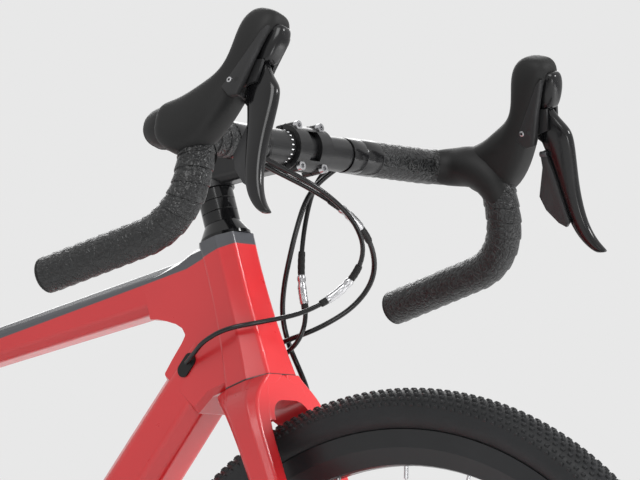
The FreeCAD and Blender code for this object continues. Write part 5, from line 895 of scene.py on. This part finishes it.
def addCasing():
    outline = tyre["outline"] + [(-y, r) for y, r in reversed(tyre["outline"][:-1])]
    casing = lineMesh("casing", [(0, y * mm, r * mm) for y, r in outline])
    bpy.ops.mesh.select_all(action="SELECT")
    bpy.ops.mesh.spin(steps=tyre["roundSteps"], angle=fullTurn, center=(0, 0, 0), axis=(0, 1, 0))
    bpy.ops.mesh.select_all(action="SELECT")
    bpy.ops.mesh.remove_doubles(threshold=tyre["mergeGap"])
    closeEdit()
    return casing


def addKnob(side, top, length, width, height, half):
    clearSelection()
    bpy.ops.mesh.primitive_cube_add(size=1)
    knob = named("knob")
    knob.scale = (length * mm, width * mm, height * mm)
    applyPlace(knob)
    bpy.ops.object.mode_set(mode="EDIT")
    bm = bmesh.from_edit_mesh(knob.data)
    for face in bm.faces:
        face.select_set(face.normal.z > 0.5)  # only the top
    bpy.ops.transform.resize(value=(tyre["knobTop"], tyre["knobTop"], 1))
    bpy.ops.object.mode_set(mode="OBJECT")
    bevel(knob, tyre["knobEdge"] * mm, segments=1)
    knob.rotation_euler.x = -math.atan2(side, tyre["leanFrom"])
    knob.location = (0, side * mm, (top - height / 2) * mm)
    applyPlace(knob)
    knob.rotation_euler.y = half * math.pi / tyre["knobCount"]
    applyPlace(knob)
    return knob


def addTyres():
    casing = addCasing()
    knobs = []
    for side, *sizes in tyre["knobs"]:
        for way in ((1, -1) if side else (1,)):
            knobs.append(addKnob(way * side, *sizes))
    row = join(knobs, "knobRow")
    clearSelection()
    bpy.ops.object.empty_add(rotation=(0, fullTurn / tyre["knobCount"], 0))
    turn = bpy.context.object
    applyModifier(row, "ARRAY", count=tyre["knobCount"], use_relative_offset=False, use_object_offset=True,
                  offset_object=turn)
    bpy.data.objects.remove(turn)
    model = join([casing, row], "tyreModel")
    model.data.materials.append(tyreFinish())
    smooth(model, angle=40)
    for word, (ahead, body, node) in wheelFacts.items():
        pick(model)
        bpy.ops.object.duplicate()
        piece = named(word + "Tyre")
        piece.location = (ahead, 0, tyre["height"])
        applyPlace(piece)
        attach(piece, body)
        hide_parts(node)
    bpy.data.objects.remove(model)


addTyres()
print("tyres done")

# saddle: crowned rings from tail to nose, with a shallow channel along the middle
seat = {
    "tail": -0.3978, "long": 0.272, "base": 0.9397, "deep": 0.046, "half": 0.073,
    "along": (0.0, 0.03, 0.1, 0.25, 0.42, 0.6, 0.8, 0.93, 0.985, 1.0),
    "halves": (0.3, 0.58, 0.84, 1.0, 0.86, 0.47, 0.33, 0.3, 0.24, 0.14),
    "crowns": (0.66, 0.86, 0.96, 1.0, 0.95, 0.9, 0.9, 0.85, 0.74, 0.6),
    # half of one section, from the channel round to the underside: shares of the half width and of the crown
    "section": [(0.0, 0.9), (0.12, 0.92), (0.24, 1.0), (0.5, 1.01), (0.74, 0.93), (0.94, 0.72), (1.0, 0.45),
                (0.95, 0.2), (0.82, 0.04), (0.6, 0.0), (0.3, 0.0), (0.0, 0.0)],
}


def addSaddle():
    rings = []
    for along, half, crown in zip(seat["along"], seat["halves"], seat["crowns"]):
        x = seat["tail"] + along * seat["long"]
        wide, high = half * seat["half"], crown * seat["deep"]
        spots = [(y * wide, seat["base"] + z * high) for y, z in seat["section"]]
        spots += [(-y, z) for y, z in reversed(spots[1:-1])]
        rings.append([Vector((x, y, z)) for y, z in spots])
    skin = ringLoft("saddleCover", rings)
    subdivide(skin, levels=3)
    wear(skin, "saddleSkin")
    smooth(skin, angle=70)
    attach(skin, "seatpost")
    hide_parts("saddle")


addSaddle()
print("saddle done")

# chain: links with their rollers, set out along the loop round ring, sprocket and pulleys
chain = {
    "pitch": 12.7 * mm, "plane": -46.5 * mm,
    # places in millimetres and teeth, with a minus where the loop turns the other way
    "stops": [((-91.07, 281.0), 46), ((-515.0, 353.0), 17), ((-492.0, 240.0), -12), ((-470.0, 152.0), 12)],
    "arcStep": 2 * mm, "fewestSteps": 6,
    "plateHigh": 4.1 * mm, "plateThick": 0.45 * mm, "outerAt": 2.35 * mm, "innerAt": 1.35 * mm,
    # a quarter of the plate's outline: along, by shares of half its length and of its height, and up
    "plateShape": [(1, 0.9, 0.0), (1, 0.55, 0.8), (1, -0.1, 0.98), (0.35, 0, 0.7)],
    "roller": 3.6 * mm, "rollerSides": 10,
}
across = Vector((0, 1, 0))


def pitchRadius(teeth):
    return math.copysign(chain["pitch"] / 2 / math.sin(math.pi / abs(teeth)), teeth)


# evenly spaced pins along the loop
def chainPins():
    stops = [(Vector((x * mm, z * mm)), pitchRadius(teeth)) for (x, z), teeth in chain["stops"]]
    runs = []
    for (centre, radius), (after, nextRadius) in zip(stops, stops[1:] + stops[:1]):
        run = after - centre
        turn = math.atan2(run.y, run.x) - math.acos((radius - nextRadius) / run.length)
        out = Vector((math.cos(turn), math.sin(turn)))
        runs.append((centre + out * radius, after + out * nextRadius))
    line = []
    for i, (centre, radius) in enumerate(stops):
        arrive, leave = runs[i - 1][1] - centre, runs[i][0] - centre
        first = math.atan2(arrive.y, arrive.x)
        way = 1 if radius > 0 else -1
        sweep = (way * (math.atan2(leave.y, leave.x) - first)) % fullTurn
        steps = max(chain["fewestSteps"], int(sweep * abs(radius) / chain["arcStep"]))
        for turn in [first] + arcSteps(first, first + way * sweep, steps):
            line.append(centre + Vector((math.cos(turn), math.sin(turn))) * abs(radius))
    line.append(line[0])
    points = [Vector((spot.x, chain["plane"], spot.y)) for spot in line]
    length = lineLength(points)
    count = 2 * round(length / chain["pitch"] / 2)
    return [spot for spot, way in stretch(points, 0.0, length * (1 - 1 / count), count)]


def linkPlate(start, end, at):
    run = (end - start).normalized()
    up = across.cross(run)
    half = (end - start).length / 2
    middle = (start + end) / 2
    tall = chain["plateHigh"]
    outline = [(half * long + tall * more, high) for long, more, high in chain["plateShape"]]
    outline += [(-x, z) for x, z in reversed(outline)]
    outline += [(x, -z) for x, z in reversed(outline[1:-1])]
    return [middle + run * x + up * (z * tall) + across * at for x, z in outline]


def addWall(bm, rings):
    near, far = ([bm.verts.new(spot) for spot in ring] for ring in rings)
    for i in range(len(near)):
        bm.faces.new((near[i - 1], near[i], far[i], far[i - 1]))
    return near, far


def addChain():
    pins = chainPins()
    obj, bm = blankMesh("chainLinks")
    for k, (start, end) in enumerate(zip(pins, pins[1:] + pins[:1])):
        for way in (1, -1):
            at = way * chain["outerAt" if k % 2 else "innerAt"]
            plates = [linkPlate(start, end, at + way * deep) for deep in (0, chain["plateThick"])]
            for ring in addWall(bm, plates):
                bm.faces.new(ring)
        addWall(bm, [ringAt(start + across * at, across, chain["roller"], chain["rollerSides"])
                     for at in (-chain["outerAt"], chain["outerAt"])])
    bmesh.update_edit_mesh(obj.data)
    closeEdit()
    wear(obj, "chainSteel")
    smooth(obj, angle=30)
    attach(obj, "frame")
    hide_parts("chain")


addChain()
print("chain done")
